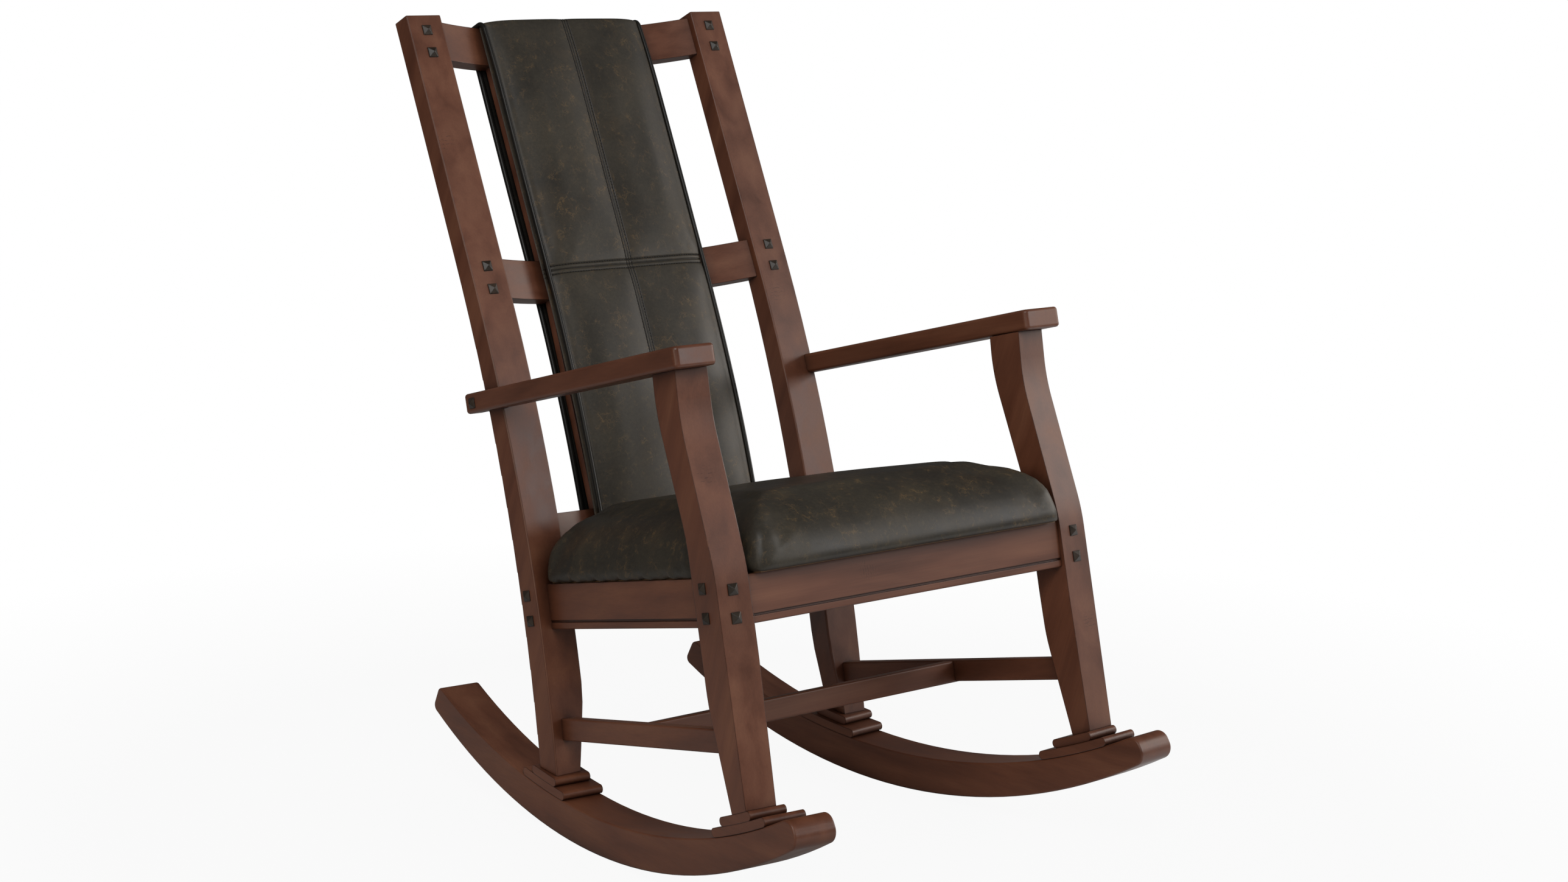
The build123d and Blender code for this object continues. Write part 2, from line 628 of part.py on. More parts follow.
# ---- side stretcher and cross stretcher
STRETCH_AT = side_slope_frame(STRETCHER_REF_Y, STRETCHER_REF_Z, STRETCHER_SLOPE)
s_front, s_back = -412.0, 18.0
side_stretcher = between(long_bar(STRETCH_AT, -half_s, half_s, s_front - 8, s_back + 8, -STRETCHER_H, 0),
                         leg_body, post_body)
rims = [e for e in side_stretcher.edges() if e.length > 300]
side_stretcher = ease(side_stretcher, rims, EDGE)
stretch_tenon = [long_bar(STRETCH_AT, -half_t, half_t, s_front - STRETCHER_TENON_L,
                          s_back + STRETCHER_TENON_L, -STRETCHER_H + 4, -4, g) for g in (0, FIT)]
side_stretcher = side_stretcher + stretch_tenon[0]

cross_z = STRETCHER_REF_Z + (STRETCHER_REF_Y - CROSS_Y) * tan(D2R(STRETCHER_SLOPE)) - 1.0
CROSS_AT = Location((0, CROSS_Y, cross_z), (-STRETCHER_SLOPE, 0, 0))
right_stretcher = mirrored(side_stretcher)
side_x = POST_MID_X + (SIDE_REF_Y - CROSS_Y) * tan(D2R(SIDE_ANGLE))
cross_stretcher = between(long_bar(CROSS_AT, -side_x, side_x, 0, STRETCHER_T, -STRETCHER_H, 0),
                          side_stretcher, right_stretcher)
rims = [e for e in cross_stretcher.edges().filter_by(Axis.X) if e.length > 300]
cross_stretcher = ease(cross_stretcher, rims, EDGE)
cross_tenon = [long_bar(CROSS_AT, -side_x + half_s - CROSS_TENON_L, side_x - half_s + CROSS_TENON_L,
                        half_t, half_t + TENON_T, -STRETCHER_H + 5, -5, g, "x") for g in (0, FIT)]
cross_stretcher = cross_stretcher + cross_tenon[0]
side_stretcher = side_stretcher - cross_tenon[1]

# ================================================================ back rails
peg_spots = {}


def back_rail(along):
    """Bowed rail with straight tenons, placed on the back."""
    at = back_frame(along)
    half = RAIL_HEIGHT / 2
    body = at * bowed(0, RAIL_THICK, POST_IN_X + 6, -half, half)
    body = between(body, post_body, mirrored(post_body))
    mid = RAIL_SETBACK + RAIL_THICK / 2 + 0.8
    made = []
    for grow in (0, FIT):
        bars = []
        for sign in (-1, 1):
            x_a = sign * (POST_IN_X - 12)
            x_b = sign * (POST_IN_X + RAIL_TENON_L)
            bars.append(long_bar(at, min(x_a, x_b), max(x_a, x_b), mid - RAIL_TENON_T / 2,
                                 mid + RAIL_TENON_T / 2, -RAIL_TENON_H / 2, RAIL_TENON_H / 2,
                                 grow, "x"))
        made.append(bars)
    keep = at * block(-POST_IN_X - 60, POST_IN_X + 60, RAIL_SETBACK - 6, RAIL_SETBACK + 80, -40, 40)
    for bar in made[0]:
        body = body + (bar & (keep - at * block(-POST_IN_X + 3, POST_IN_X - 3, -20, 120, -60, 60)))
    return body, made[1]


crest_rail, crest_mortises = back_rail(CREST_ALONG)
mid_rail, mid_mortises = back_rail(MID_ALONG)
lower_rail, lower_mortises = back_rail(LOWER_ALONG)


def splat(low_along, high_along):
    """Board between two rails, straight between them, with a tongue in each."""
    half = RAIL_HEIGHT / 2
    y0, z0 = back_point(0, low_along + half)
    y1, z1 = back_point(0, high_along - half)
    length = sqrt((y1 - y0) ** 2 + (z1 - z0) ** 2)
    at = Location((0, y0, z0), (-degrees(asin((y1 - y0) / length)), 0, 0))
    set_in = SPLAT_SETBACK
    body = at * bowed(set_in, SPLAT_THICK, SPLAT_HALF, -6, length + 6)
    deep = set_in + (SPLAT_THICK - TONGUE_T) / 2
    tongue = at * bowed(deep, TONGUE_T, SPLAT_HALF, -TONGUE_L, length + TONGUE_L)
    slot = at * bowed(deep - FIT, TONGUE_T + 2 * FIT, SPLAT_HALF + FIT, -TONGUE_L - 1, length + TONGUE_L + 1)
    return body, tongue, slot


upper_body, upper_tongue, upper_slot = splat(MID_ALONG, CREST_ALONG)
lower_body, lower_tongue, lower_slot = splat(LOWER_ALONG, MID_ALONG)
splat_upper = between(upper_body, crest_rail, mid_rail) + upper_tongue
splat_lower = between(lower_body, mid_rail, lower_rail) + lower_tongue
crest_rail = crest_rail - upper_slot
mid_rail = mid_rail - upper_slot - lower_slot
lower_rail = lower_rail - lower_slot

# ================================================================ arms
ARM_AT = Location((0, ARM_FRONT_Y, ARM_FRONT_TOP_Z), (-ARM_SLOPE, 0, 0))
arm_len = (ARM_BACK_Y - ARM_FRONT_Y) / cos(D2R(ARM_SLOPE))
plan = make_face(Polyline((ARM_IN_FRONT_X, 0), (ARM_OUT_FRONT_X, 0), (ARM_OUT_BACK_X, arm_len),
                          (ARM_IN_BACK_X, arm_len), close=True).edges())
arm = extrude(Pos(0, 0, -ARM_THICK) * plan, amount=ARM_THICK, dir=(0, 0, 1))
uprights = arm.edges().filter_by(Axis.Z).sort_by(Axis.Y)
arm = ease(arm, uprights[:2], ARM_CORNER)
uprights = arm.edges().filter_by(Axis.Z).sort_by(Axis.Y)
arm = ease(arm, uprights[-2:], ARM_TAIL_CORNER)
rims = arm.faces().sort_by(Axis.Z)[-1].edges() + arm.faces().sort_by(Axis.Z)[0].edges()
arm = ease(arm, rims, ARM_RIM)
arm = ARM_AT * arm
for dy in (-ARM_NOTCH_FIT, ARM_NOTCH_FIT):
    arm = arm - Pos(FIT, dy, 0) * post_blank
arm = biggest(arm)
for dx, dy in ((-FIT, -FIT), (-FIT, FIT), (FIT, -FIT), (FIT, FIT)):
    arm = arm - Pos(dx, dy, 0.5) * arm_tenon
leg = leg + arm_tenon


# ================================================================ pegs
def peg(shank, shank_len):
    """Square peg, head on Z = 0 and shank below it."""
    head = Box(PEG_HEAD, PEG_HEAD, PEG_HEAD_EDGE, align=(Align.CENTER, Align.CENTER, Align.MIN))
    low = Plane.XY.offset(PEG_HEAD_EDGE) * Rectangle(PEG_HEAD, PEG_HEAD)
    tip = Plane.XY.offset(PEG_HEAD_EDGE + PEG_RISE) * Rectangle(0.8, 0.8)
    point = loft([low.face(), tip.face()])
    stem = Pos(0, 0, -shank_len / 2) * Box(shank, shank, shank_len)
    return head + point + stem


def stem_hole(shank, shank_len):
    size = shank + 2 * FIT
    return Pos(0, 0, -shank_len / 2 - 0.5 + 1) * Box(size, size, shank_len + 3)


def face_forward(frame, x, z):
    """Location on the front (-Y) face of a frame, head pointing out."""
    return frame * Location((x, 0, z), (90, 0, 0))


peg_sets = {}
cutters = {"post": [], "leg": [], "arm": [], "crest": [], "mid": [], "front_apron": [],
           "side_apron": []}

for name, along, drop, key in (("crest_rail_pegs", CREST_ALONG, PEG_DROP, "crest"),
                               ("mid_rail_pegs", MID_ALONG, 0.0, "mid")):
    spots = []
    for k in (-0.5, 0.5):
        at = face_forward(back_frame(along), POST_MID_X, k * PEG_GAP - drop)
        spots.append(at * peg(PEG_SHANK, PEG_STEM))
        hole = at * stem_hole(PEG_SHANK, PEG_STEM)
        cutters["post"].append(hole)
        cutters[key].append(hole)
        cutters[key].append(mirrored(hole))
    peg_sets[name] = spots

# front face of the front leg, through the front apron tenon
mid_apron = -APRON_H / 2
lean_at = tan(D2R(LEG_LEAN_LOW))
spots = []
for k in (-0.5, 0.5):
    z_peg = SEAT_REF_Z + (SEAT_REF_Y - FRONT_APRON_Y) * tan(D2R(SEAT_SLOPE)) - FRONT_PEG_DROP
    z_peg += k * FRONT_PEG_GAP
    y_peg = leg_front[0][0] + (z_peg - leg_front[0][1]) * lean_at
    at = SPLAYED * Location((-LEG_WIDTH / 2 + 1.0, y_peg, z_peg), (90 - LEG_LEAN_LOW, 0, 0))
    spots.append(at * peg(PEG_SHANK, PEG_STEM))
    hole = at * stem_hole(PEG_SHANK, PEG_STEM)
    cutters["leg"].append(hole)
    cutters["front_apron"].append(hole)
    cutters["front_apron"].append(mirrored(hole))
peg_sets["front_apron_pegs"] = spots

# outer face of the front leg and of the post, through the side apron tenon
spots = []
for k in (-0.5, 0.5):
    z_peg = SEAT_REF_Z + (SEAT_REF_Y - SIDE_PEG_Y) * tan(D2R(SEAT_SLOPE)) - SIDE_PEG_DROP + k * SIDE_PEG_GAP
    y_peg = SIDE_PEG_Y + k * SIDE_PEG_GAP * lean_at
    at = SPLAYED * Location((0, y_peg, z_peg), (0, 90, 0)) * Rot(0, 0, -LEG_LEAN_LOW)
    spots.append(at * peg(PEG_SHANK, LEG_PEG_STEM))
    hole = at * stem_hole(PEG_SHANK, LEG_PEG_STEM)
    cutters["leg"].append(hole)
    cutters["side_apron"].append(hole)
peg_sets["side_apron_front_pegs"] = spots
spots = []
for k in (-0.5, 0.5):
    z_peg = REAR_PEG_Z + k * REAR_PEG_GAP
    y_peg = REAR_PEG_Y + k * REAR_PEG_GAP * tan(D2R(REAR_PEG_TURN))
    at = Location((POST_OUT_X, y_peg, z_peg), (0, 90, 0)) * Rot(0, 0, -REAR_PEG_TURN)
    spots.append(at * peg(PEG_SHANK, POST_PEG_STEM))
    hole = at * stem_hole(PEG_SHANK, POST_PEG_STEM)
    cutters["post"].append(hole)
    cutters["side_apron"].append(hole)
peg_sets["side_apron_rear_pegs"] = spots

# tail of the arm, behind the post
tail_angle = degrees(asin((ARM_OUT_FRONT_X - ARM_OUT_BACK_X) / arm_len))
tail_y = arm_len - TAIL_PEG_IN
tail_x = ARM_OUT_BACK_X + TAIL_PEG_IN * tan(D2R(tail_angle))
at = ARM_AT * Location((tail_x, tail_y, -ARM_THICK / 2), (0, 0, tail_angle)) * Rot(0, 90, 0)
peg_sets["arm_tail_pegs"] = [at * peg(TAIL_SHANK, TAIL_PEG_STEM)]
cutters["arm"].append(at * stem_hole(TAIL_SHANK, TAIL_PEG_STEM))

for hole in cutters["leg"] + [side_tenon[1], front_tenon[1], stretch_tenon[1], dowel_holes[0]]:
    leg = leg - hole
for hole in (cutters["post"] + crest_mortises[1:] + mid_mortises[1:] + lower_mortises[1:]
             + [side_tenon[1], rear_tenon[1], stretch_tenon[1], dowel_holes[1]]):
    post = post - hole
for hole in cutters["arm"]:
    arm = arm - hole
for hole in cutters["crest"]:
    crest_rail = crest_rail - hole
for hole in cutters["mid"]:
    mid_rail = mid_rail - hole
for hole in cutters["front_apron"]:
    front_apron = front_apron - hole
for hole in cutters["side_apron"]:
    side_apron = side_apron - hole

# ================================================================ corner blocks
def plan_prism(points, z0, z1):
    """Prism in the seat frame; plan outline given as (x, y)."""
    face = make_face(Polyline(*points, close=True).edges())
    return SEAT_FRAME * extrude(Pos(0, 0, z0) * face, amount=z1 - z0, dir=(0, 0, 1))


def screw(at):
    """Flat-headed screw; the head faces away from +Z, its top at Z = 0."""
    shank = Pos(0, 0, SCREW_L / 2) * Cylinder(SCREW_R, SCREW_L)
    head = Pos(0, 0, SCREW_HEAD_H / 2) * Cone(SCREW_HEAD_R, SCREW_R, SCREW_HEAD_H)
    return at * (shank + head)


def screw_bore(at, open_len):
    bore = Pos(0, 0, -open_len / 2) * Cylinder(SCREW_HEAD_R + 0.3, open_len)
    return screw(at) + at * bore


# outlines: along the apron, around the leg or post, along the side apron
y_front_in = y_f + APRON_T
front_x = LEG_NOTCH_X + 1
rear_x = POST_NOTCH_X + 1
front_y = LEG_NOTCH_Y - 6
front_corner = [(front_x - CORNER_REACH, y_front_in - 5), (front_x, y_front_in - 5), (front_x, front_y),
                (front_x + 26, front_y), (front_x + 26, front_y + CORNER_SIDE),
                (front_x + 4, front_y + CORNER_SIDE)]
rear_corner = [(rear_x - CORNER_REACH_REAR, y_r + 5), (rear_x, y_r + 5), (rear_x, POST_NOTCH_Y),
               (rear_x + 31, POST_NOTCH_Y), (rear_x + 31, POST_NOTCH_Y - CORNER_SIDE_REAR),
               (rear_x + 19, POST_NOTCH_Y - CORNER_SIDE_REAR)]
corner_blocks = []
for outline, neighbours in ((front_corner, (front_apron, side_apron, leg_body)),
                            (rear_corner, (rear_apron, side_apron, post_body))):
    corner_blocks.append(between(plan_prism(outline, -CORNER_BLOCK_T, -2 * SOFT_FIT), *neighbours))

mid_z = -CORNER_BLOCK_T / 2
TO_FRONT, TO_BACK, TO_SIDE, UP = (90, 0, 0), (-90, 0, 0), (0, 90, 0), (0, 0, 0)
# (block, position in the seat frame, direction, open length of the counterbore)
fixings = [
    (0, (front_x - 62, y_front_in + 20, mid_z), TO_FRONT, 40),
    (0, (front_x - 12, front_y + 36, mid_z), TO_SIDE, 40),
    (1, (rear_x - 39, y_r - 20, mid_z), TO_BACK, 40),
    (1, (rear_x + 5, POST_NOTCH_Y - 38, mid_z), TO_SIDE, 40),
]
block_screws = []
for which, where, turn, open_len in fixings:
    at = SEAT_FRAME * Location(where, turn)
    block_screws.append(screw(at))
    corner_blocks[which] = corner_blocks[which] - screw_bore(at, open_len)
    if which == 0 and turn == TO_FRONT:
        front_apron = front_apron - screw(at) - mirrored(screw(at))
    elif turn == TO_BACK:
        rear_apron = rear_apron - screw(at) - mirrored(screw(at))
    else:
        side_apron = side_apron - screw(at)

# ================================================================ seat board and cushion
side_slope = tan(D2R(SIDE_ANGLE)) * cos(D2R(SEAT_SLOPE))
side_at_ref = POST_MID_X + (SIDE_REF_Y - SEAT_REF_Y) * tan(D2R(SIDE_ANGLE)) + APRON_T / 2


def seat_side(y, out):
    """Outer x of the seat, in the seat frame, at y along it."""
    return side_at_ref + out - y * side_slope


def seat_plan(inset):
    """Plan of the upholstered seat in the seat frame, notched for legs and posts."""
    front = y_f - CUSHION_FRONT + inset
    out = CUSHION_OVER - inset
    half = [(0, front), (LEG_NOTCH_X - inset, front), (LEG_NOTCH_X - inset, LEG_NOTCH_Y + inset),
            (seat_side(LEG_NOTCH_Y + inset, out), LEG_NOTCH_Y + inset),
            (seat_side(POST_NOTCH_Y - inset, out), POST_NOTCH_Y - inset),
            (POST_NOTCH_X - inset, POST_NOTCH_Y - inset), (POST_NOTCH_X - inset, CUSHION_REAR - inset),
            (0, CUSHION_REAR - inset)]
    other = [(-x, y) for x, y in half[::-1]]
    return half + other[1:-1]


seat_board = plan_prism(seat_plan(BOARD_INSET), 0, BOARD_T)
seat_screws = []
for which, x, y in ((0, front_x - 28, front_y - 4), (1, rear_x - 20, POST_NOTCH_Y - 20)):
    at = SEAT_FRAME * Location((x, y, -CORNER_BLOCK_T), UP)
    seat_screws.append(screw(at))
    corner_blocks[which] = corner_blocks[which] - screw(at)
    seat_board = seat_board - screw(at) - mirrored(screw(at))


def round_over(t0, t1, height):
    """Side view of the cushion from edge t0 to t1: upright, quarter ellipse, crown."""
    step = CUSHION_ROUND
    up = CUSHION_SIDE_H
    rise = height - up
    q = 0.7071
    first = ThreePointArc((t0, up), (t0 + step * (1 - q), up + rise * q * 0.98), (t0 + step, height))
    crown = ThreePointArc((t0 + step, height), ((t0 + t1) / 2, height + CUSHION_CROWN), (t1 - step, height))
    last = ThreePointArc((t1 - step, height), (t1 - step * (1 - q), up + rise * q * 0.98), (t1, up))
    return [Line((t0, 0), (t0, up)), first, crown, last, Line((t1, up), (t1, 0)), Line((t1, 0), (t0, 0))]


front_edge = y_f - CUSHION_FRONT
long_view = SEAT_FRAME * side_view(round_over(front_edge, CUSHION_REAR + 42, CUSHION_H), -400, 400)
turn = degrees(atan2(side_slope, 1.0))
half_span = seat_side(0, CUSHION_OVER)
cross = extrude(Plane.XZ * make_face(round_over(-half_span - 300, half_span, CUSHION_H)),
                amount=900, both=True, dir=(0, 1, 0))
cross = SEAT_FRAME * Pos(half_span, 0, 0) * Rot(0, 0, turn) * Pos(-half_span, 0, 0) * cross
seat_cushion = plan_prism(seat_plan(0.0), SOFT_FIT, 140)
seat_cushion = biggest(seat_cushion & long_view & cross & mirrored(cross))
pocket = plan_prism(seat_plan(BOARD_INSET - SOFT_FIT), -1, BOARD_T + SOFT_FIT)
seat_cushion = biggest(seat_cushion - pocket)

# ================================================================ back upholstery
PAD_TOP = CREST_ALONG + RAIL_HEIGHT / 2


def back_path(depth):
    return Wire([e.edge() for e in
                 [Plane.YZ * c for c in back_run(depth, PAD_TOP, PAD_LOW)]])


def back_section(edges):
    """Section across the back, outline given as (x, depth), set at the top of the pad."""
    y, z = back_point(0, PAD_TOP)
    down = (0, -sin(LEAN), -cos(LEAN))
    return Plane(origin=(0, y, z), x_dir=(-1, 0, 0), z_dir=down) * make_face(edges)


def bow_depth(x, grow=0.0):
    """Depth of the rail front (plus grow) at x."""
    return BOW_CY + sqrt((BOW_R + grow) ** 2 - x * x)


def pad_section(inset, back=-SOFT_FIT):
    """Section of the pad, its front and sides moved in by inset; the back fits the rails."""
    half = PAD_HALF - inset
    front = PAD_FRONT + inset
    corner = PAD_CORNER - inset
    side = bow_depth(half, back)
    near = corner * (1 - 0.7071)
    return [Line((-half, front + corner), (-half, side)),
            ThreePointArc((-half, side), (0, bow_depth(0, back)), (half, side)),
            Line((half, side), (half, front + corner)),
            ThreePointArc((half, front + corner), (half - near, front + near), (half - corner, front)),
            Line((half - corner, front), (-half + corner, front)),
            ThreePointArc((-half + corner, front), (-half + near, front + near), (-half, front + corner))]


pad_outline = pad_section(0.0)
pad_whole = sweep(back_section(pad_outline), path=back_path(0))
pad_hollow = sweep(back_section(pad_section(COVER_T, 4.0)), path=back_path(0))
back_pad_cover = pad_whole - pad_hollow
back_pad_core = sweep(back_section(pad_section(COVER_T + SOFT_FIT)), path=back_path(0))
inner = RAIL_THICK + SOFT_FIT
outer = inner + PANEL_T
panel_outline = [ThreePointArc((-PAD_HALF, bow_depth(PAD_HALF, inner)), (0, bow_depth(0, inner)),
                               (PAD_HALF, bow_depth(PAD_HALF, inner))),
                 Line((PAD_HALF, bow_depth(PAD_HALF, inner)), (PAD_HALF, bow_depth(PAD_HALF, outer))),
                 ThreePointArc((PAD_HALF, bow_depth(PAD_HALF, outer)), (0, bow_depth(0, outer)),
                               (-PAD_HALF, bow_depth(PAD_HALF, outer))),
                 Line((-PAD_HALF, bow_depth(PAD_HALF, outer)), (-PAD_HALF, bow_depth(PAD_HALF, inner)))]
back_panel_rear = sweep(back_section(panel_outline), path=back_path(0))
roll_outline = [ThreePointArc((PAD_HALF, bow_depth(PAD_HALF, outer)), (0, bow_depth(0, outer)),
                              (-PAD_HALF, bow_depth(PAD_HALF, outer))),
                Line((-PAD_HALF, bow_depth(PAD_HALF, outer)), (-PAD_HALF, PAD_FRONT + PAD_CORNER)),
                pad_outline[5], pad_outline[4], pad_outline[3],
                Line((PAD_HALF, PAD_FRONT + PAD_CORNER), (PAD_HALF, bow_depth(PAD_HALF, outer)))]
upward = (0, sin(LEAN), cos(LEAN))
roll = extrude(back_section(roll_outline), amount=ROLL_H, dir=upward)
roll = Pos(0, SOFT_FIT * sin(LEAN), SOFT_FIT * cos(LEAN)) * roll
crown_edges = roll.edges().filter_by_position(
    Axis((0, 0, 0), (0, sin(LEAN), cos(LEAN))),
    roll.center().Y * sin(LEAN) + roll.center().Z * cos(LEAN) + ROLL_H * 0.3,
    roll.center().Y * sin(LEAN) + roll.center().Z * cos(LEAN) + ROLL_H * 2)
back_pad_top_roll = ease(roll, crown_edges, 4.0)

piping_x = PAD_HALF + SOFT_FIT + PIPING_R
front_depth = PAD_FRONT + PIPING_R
rear_depth = bow_depth(piping_x, RAIL_THICK) + PIPING_R + PIPING_CLEAR
piping_top = PAD_TOP + PIPING_R + PIPING_CLEAR
front_low_pt = back_point(front_depth, PAD_LOW + 6)
front_mid_pt = back_point(front_depth, (PAD_LOW + 6 + FRONT_BEND_ALONG) / 2)
front_bend = back_point(front_depth, FRONT_BEND_ALONG)
rear_low_pt = back_point(rear_depth, PAD_LOW + 6)
rear_mid_pt = back_point(rear_depth, (PAD_LOW + 6 + FRONT_BEND_ALONG) / 2)
rear_bend = back_point(rear_depth, FRONT_BEND_ALONG)
over = FilletPolyline(front_bend, back_point(front_depth, piping_top),
                      back_point(rear_depth, piping_top), rear_bend, radius=PIPING_TURN)
cord_edges = [ThreePointArc(front_low_pt, front_mid_pt, front_bend)] + list(over.edges())
cord_edges += [ThreePointArc(rear_bend, rear_mid_pt, rear_low_pt)]
cord_path = Plane.YZ.offset(piping_x) * Wire([e.edge() for e in cord_edges])
foot_angle = post_angle(PAD_LOW + 6)
cord_start = Plane(origin=(piping_x,) + tuple(front_low_pt), x_dir=(1, 0, 0),
                   z_dir=(0, sin(foot_angle), cos(foot_angle)))
cord = sweep(cord_start * Circle(PIPING_R), path=cord_path)

save_pair("rocker", biggest(rocker))
save_pair("foot_block_lower_front", biggest(front_low))
save_pair("foot_block_upper_front", biggest(front_up))
save_pair("foot_block_lower_rear", biggest(rear_low))
save_pair("foot_block_upper_rear", biggest(rear_up))
save("foot_dowels", solids_of(*dowels, *[mirrored(d) for d in dowels]))
save_pair("front_leg", biggest(leg))
save_pair("back_post", biggest(post))
save_pair("arm", biggest(arm))
save("crest_rail", biggest(crest_rail))
save("mid_rail", biggest(mid_rail))
save("lower_back_rail", biggest(lower_rail))
save("splat_upper", biggest(splat_upper))
save("splat_lower", biggest(splat_lower))
save_pair("side_stretcher", biggest(side_stretcher))
save("cross_stretcher", biggest(cross_stretcher))
for name, spots in peg_sets.items():
    save(name, solids_of(*spots, *[mirrored(p) for p in spots]))
save_pair("corner_block_front", biggest(corner_blocks[0]))
save_pair("corner_block_rear", biggest(corner_blocks[1]))
save("corner_block_screws", solids_of(*block_screws, *[mirrored(p) for p in block_screws]))
save("seat_screws", solids_of(*seat_screws, *[mirrored(p) for p in seat_screws]))
save("seat_board", biggest(seat_board))
save("seat_cushion", seat_cushion)
save("front_apron", biggest(front_apron))
save("rear_apron", biggest(rear_apron))
save_pair("side_apron", biggest(side_apron))
save("back_pad_cover", biggest(back_pad_cover))
save("back_pad_core", biggest(back_pad_core))
save("back_pad_top_roll", biggest(back_pad_top_roll))
save("back_panel_rear", biggest(back_panel_rear))
save("back_piping", solids_of(cord, mirrored(cord)))

# ================================================================ export
os.makedirs("parts", exist_ok=True)
AXLE = Pos(0, ROCKER_MID_Y, ROCKER_R)
AT_REST = AXLE * Rot(-REST_TURN, 0, 0) * Pos(0, -ROCKER_MID_Y, -ROCKER_R)
SAVED = {node: AT_REST * shape for node, shape in SAVED.items()}
boxes = [shape.bounding_box() for shape in SAVED.values()]
middle = (min(b.min.Y for b in boxes) + max(b.max.Y for b in boxes)) / 2
lowest = min(b.min.Z for b in boxes)
TO_ORIGIN = Pos(0, -middle, -lowest)
for node, shape in SAVED.items():
    export_step(TO_ORIGIN * shape, "parts/" + node + ".step")
print("moved by", round(-middle, 3), round(-lowest, 3))
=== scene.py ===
"""Looks for a pegged hardwood rocking chair with a leather seat and back.

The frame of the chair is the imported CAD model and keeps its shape. This script gives every
member its finish and adds the leather seat, the back cushion with its seams and piping, the
leather rear panel, and a plain studio around the chair. Everything is in metres, with X to the
sitter's left, -Y to the front and Z up. Shapes are worked out in millimetres, in the standing
chair's own frames, and turned to metres at rest by to_row.
"""
import json
import math
from types import SimpleNamespace

import bpy
import numpy as np
from mathutils import Matrix, Vector


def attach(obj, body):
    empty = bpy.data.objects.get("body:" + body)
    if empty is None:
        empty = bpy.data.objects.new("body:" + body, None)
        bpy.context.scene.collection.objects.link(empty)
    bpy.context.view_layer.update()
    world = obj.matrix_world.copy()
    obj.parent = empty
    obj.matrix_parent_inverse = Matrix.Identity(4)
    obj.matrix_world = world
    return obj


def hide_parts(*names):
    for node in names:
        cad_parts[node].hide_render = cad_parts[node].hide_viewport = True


bl_info = {
    "name": "Rocking Chair Looks",
    "version": (1, 0, 0),
    "blender": (4, 5, 0),
    "location": "3D View > Sidebar > Rocker",
    "description": "Leather upholstery and wood finish for a pegged hardwood rocking chair",
    "category": "Object",
}

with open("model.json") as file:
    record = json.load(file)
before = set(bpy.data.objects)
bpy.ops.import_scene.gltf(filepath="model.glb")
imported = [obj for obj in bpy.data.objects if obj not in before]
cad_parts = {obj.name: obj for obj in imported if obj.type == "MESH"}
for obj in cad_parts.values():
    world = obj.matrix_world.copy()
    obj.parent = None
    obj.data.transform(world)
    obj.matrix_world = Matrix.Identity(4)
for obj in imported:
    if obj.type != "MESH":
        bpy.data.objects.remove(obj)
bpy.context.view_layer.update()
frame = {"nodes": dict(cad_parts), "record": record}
MM = 0.001

# ------------------------------------------------------------------ the chair's own frames
# The same driving sizes as the model, in millimetres: y back from the front of the front
# feet, z above the floor, before the chair is turned to the pose in which it balances.
REST_TURN = math.radians(1.71)
ROCKER_MID_Y, ROCKER_R = 362.0, 945.0
POST_LEAN = math.radians(23.5)
POST_REF = (803.0, 1103.0)
POST_BEND_ALONG = (752.0 - 1103.0) / math.cos(POST_LEAN)
POST_FRONT_R = 2430.0
CREST_TOP = -12.0 + 58.5 / 2      # top of the crest rail along the posts
SEAT_REF = (144.0, 418.0)
SEAT_SLOPE = math.radians(11.0)
APRON_SPLAY = math.radians(6.3)   # the side aprons run in towards the back
BOW_R = (227.5 ** 2 + 44.0 ** 2) / 88.0
BOW_CENTRE = 10.0 + 44.0 - BOW_R
RAIL_THICK = 20.0
FLOOR_CONTACT = next(m for m in frame["record"]["mounts"] if m["name"] == "floor_contact")
SHIFT_Y = ROCKER_MID_Y - FLOOR_CONTACT["pos_m"][1] / MM


def to_row(x, y, z):
    """Points of the standing chair, in mm, turned about the rockers' axis to rest, in metres."""
    dy, dz = y - ROCKER_MID_Y, z - ROCKER_R
    c, s = math.cos(REST_TURN), math.sin(REST_TURN)
    yy = ROCKER_MID_Y + dy * c + dz * s - SHIFT_Y
    zz = ROCKER_R - dy * s + dz * c
    return np.stack(np.broadcast_arrays(x, yy, zz), -1) * MM


def back_point(x, depth, along):
    """Point of the back: depth behind the post fronts, distance along them from the reference.

    Above the bend the front is a straight line at the lean. Below it is an arc, so the angle is
    the lean less the arc length over the radius.
    """
    along = np.asarray(along, float)
    low = np.minimum(along - POST_BEND_ALONG, 0.0)
    angle = POST_LEAN + low / POST_FRONT_R
    high = np.maximum(along, POST_BEND_ALONG)
    y = POST_REF[0] + high * math.sin(POST_LEAN)
    z = POST_REF[1] + high * math.cos(POST_LEAN)
    y = y + POST_FRONT_R * (math.cos(POST_LEAN) - np.cos(angle))
    z = z + POST_FRONT_R * (np.sin(angle) - math.sin(POST_LEAN))
    return to_row(x, y + depth * np.cos(angle), z - depth * np.sin(angle))


def seat_point(x, run, height):
    """Point of the seat: run back along the apron tops, height square to them."""
    c, s = math.cos(SEAT_SLOPE), math.sin(SEAT_SLOPE)
    return to_row(x, SEAT_REF[0] + run * c + height * s, SEAT_REF[1] - run * s + height * c)


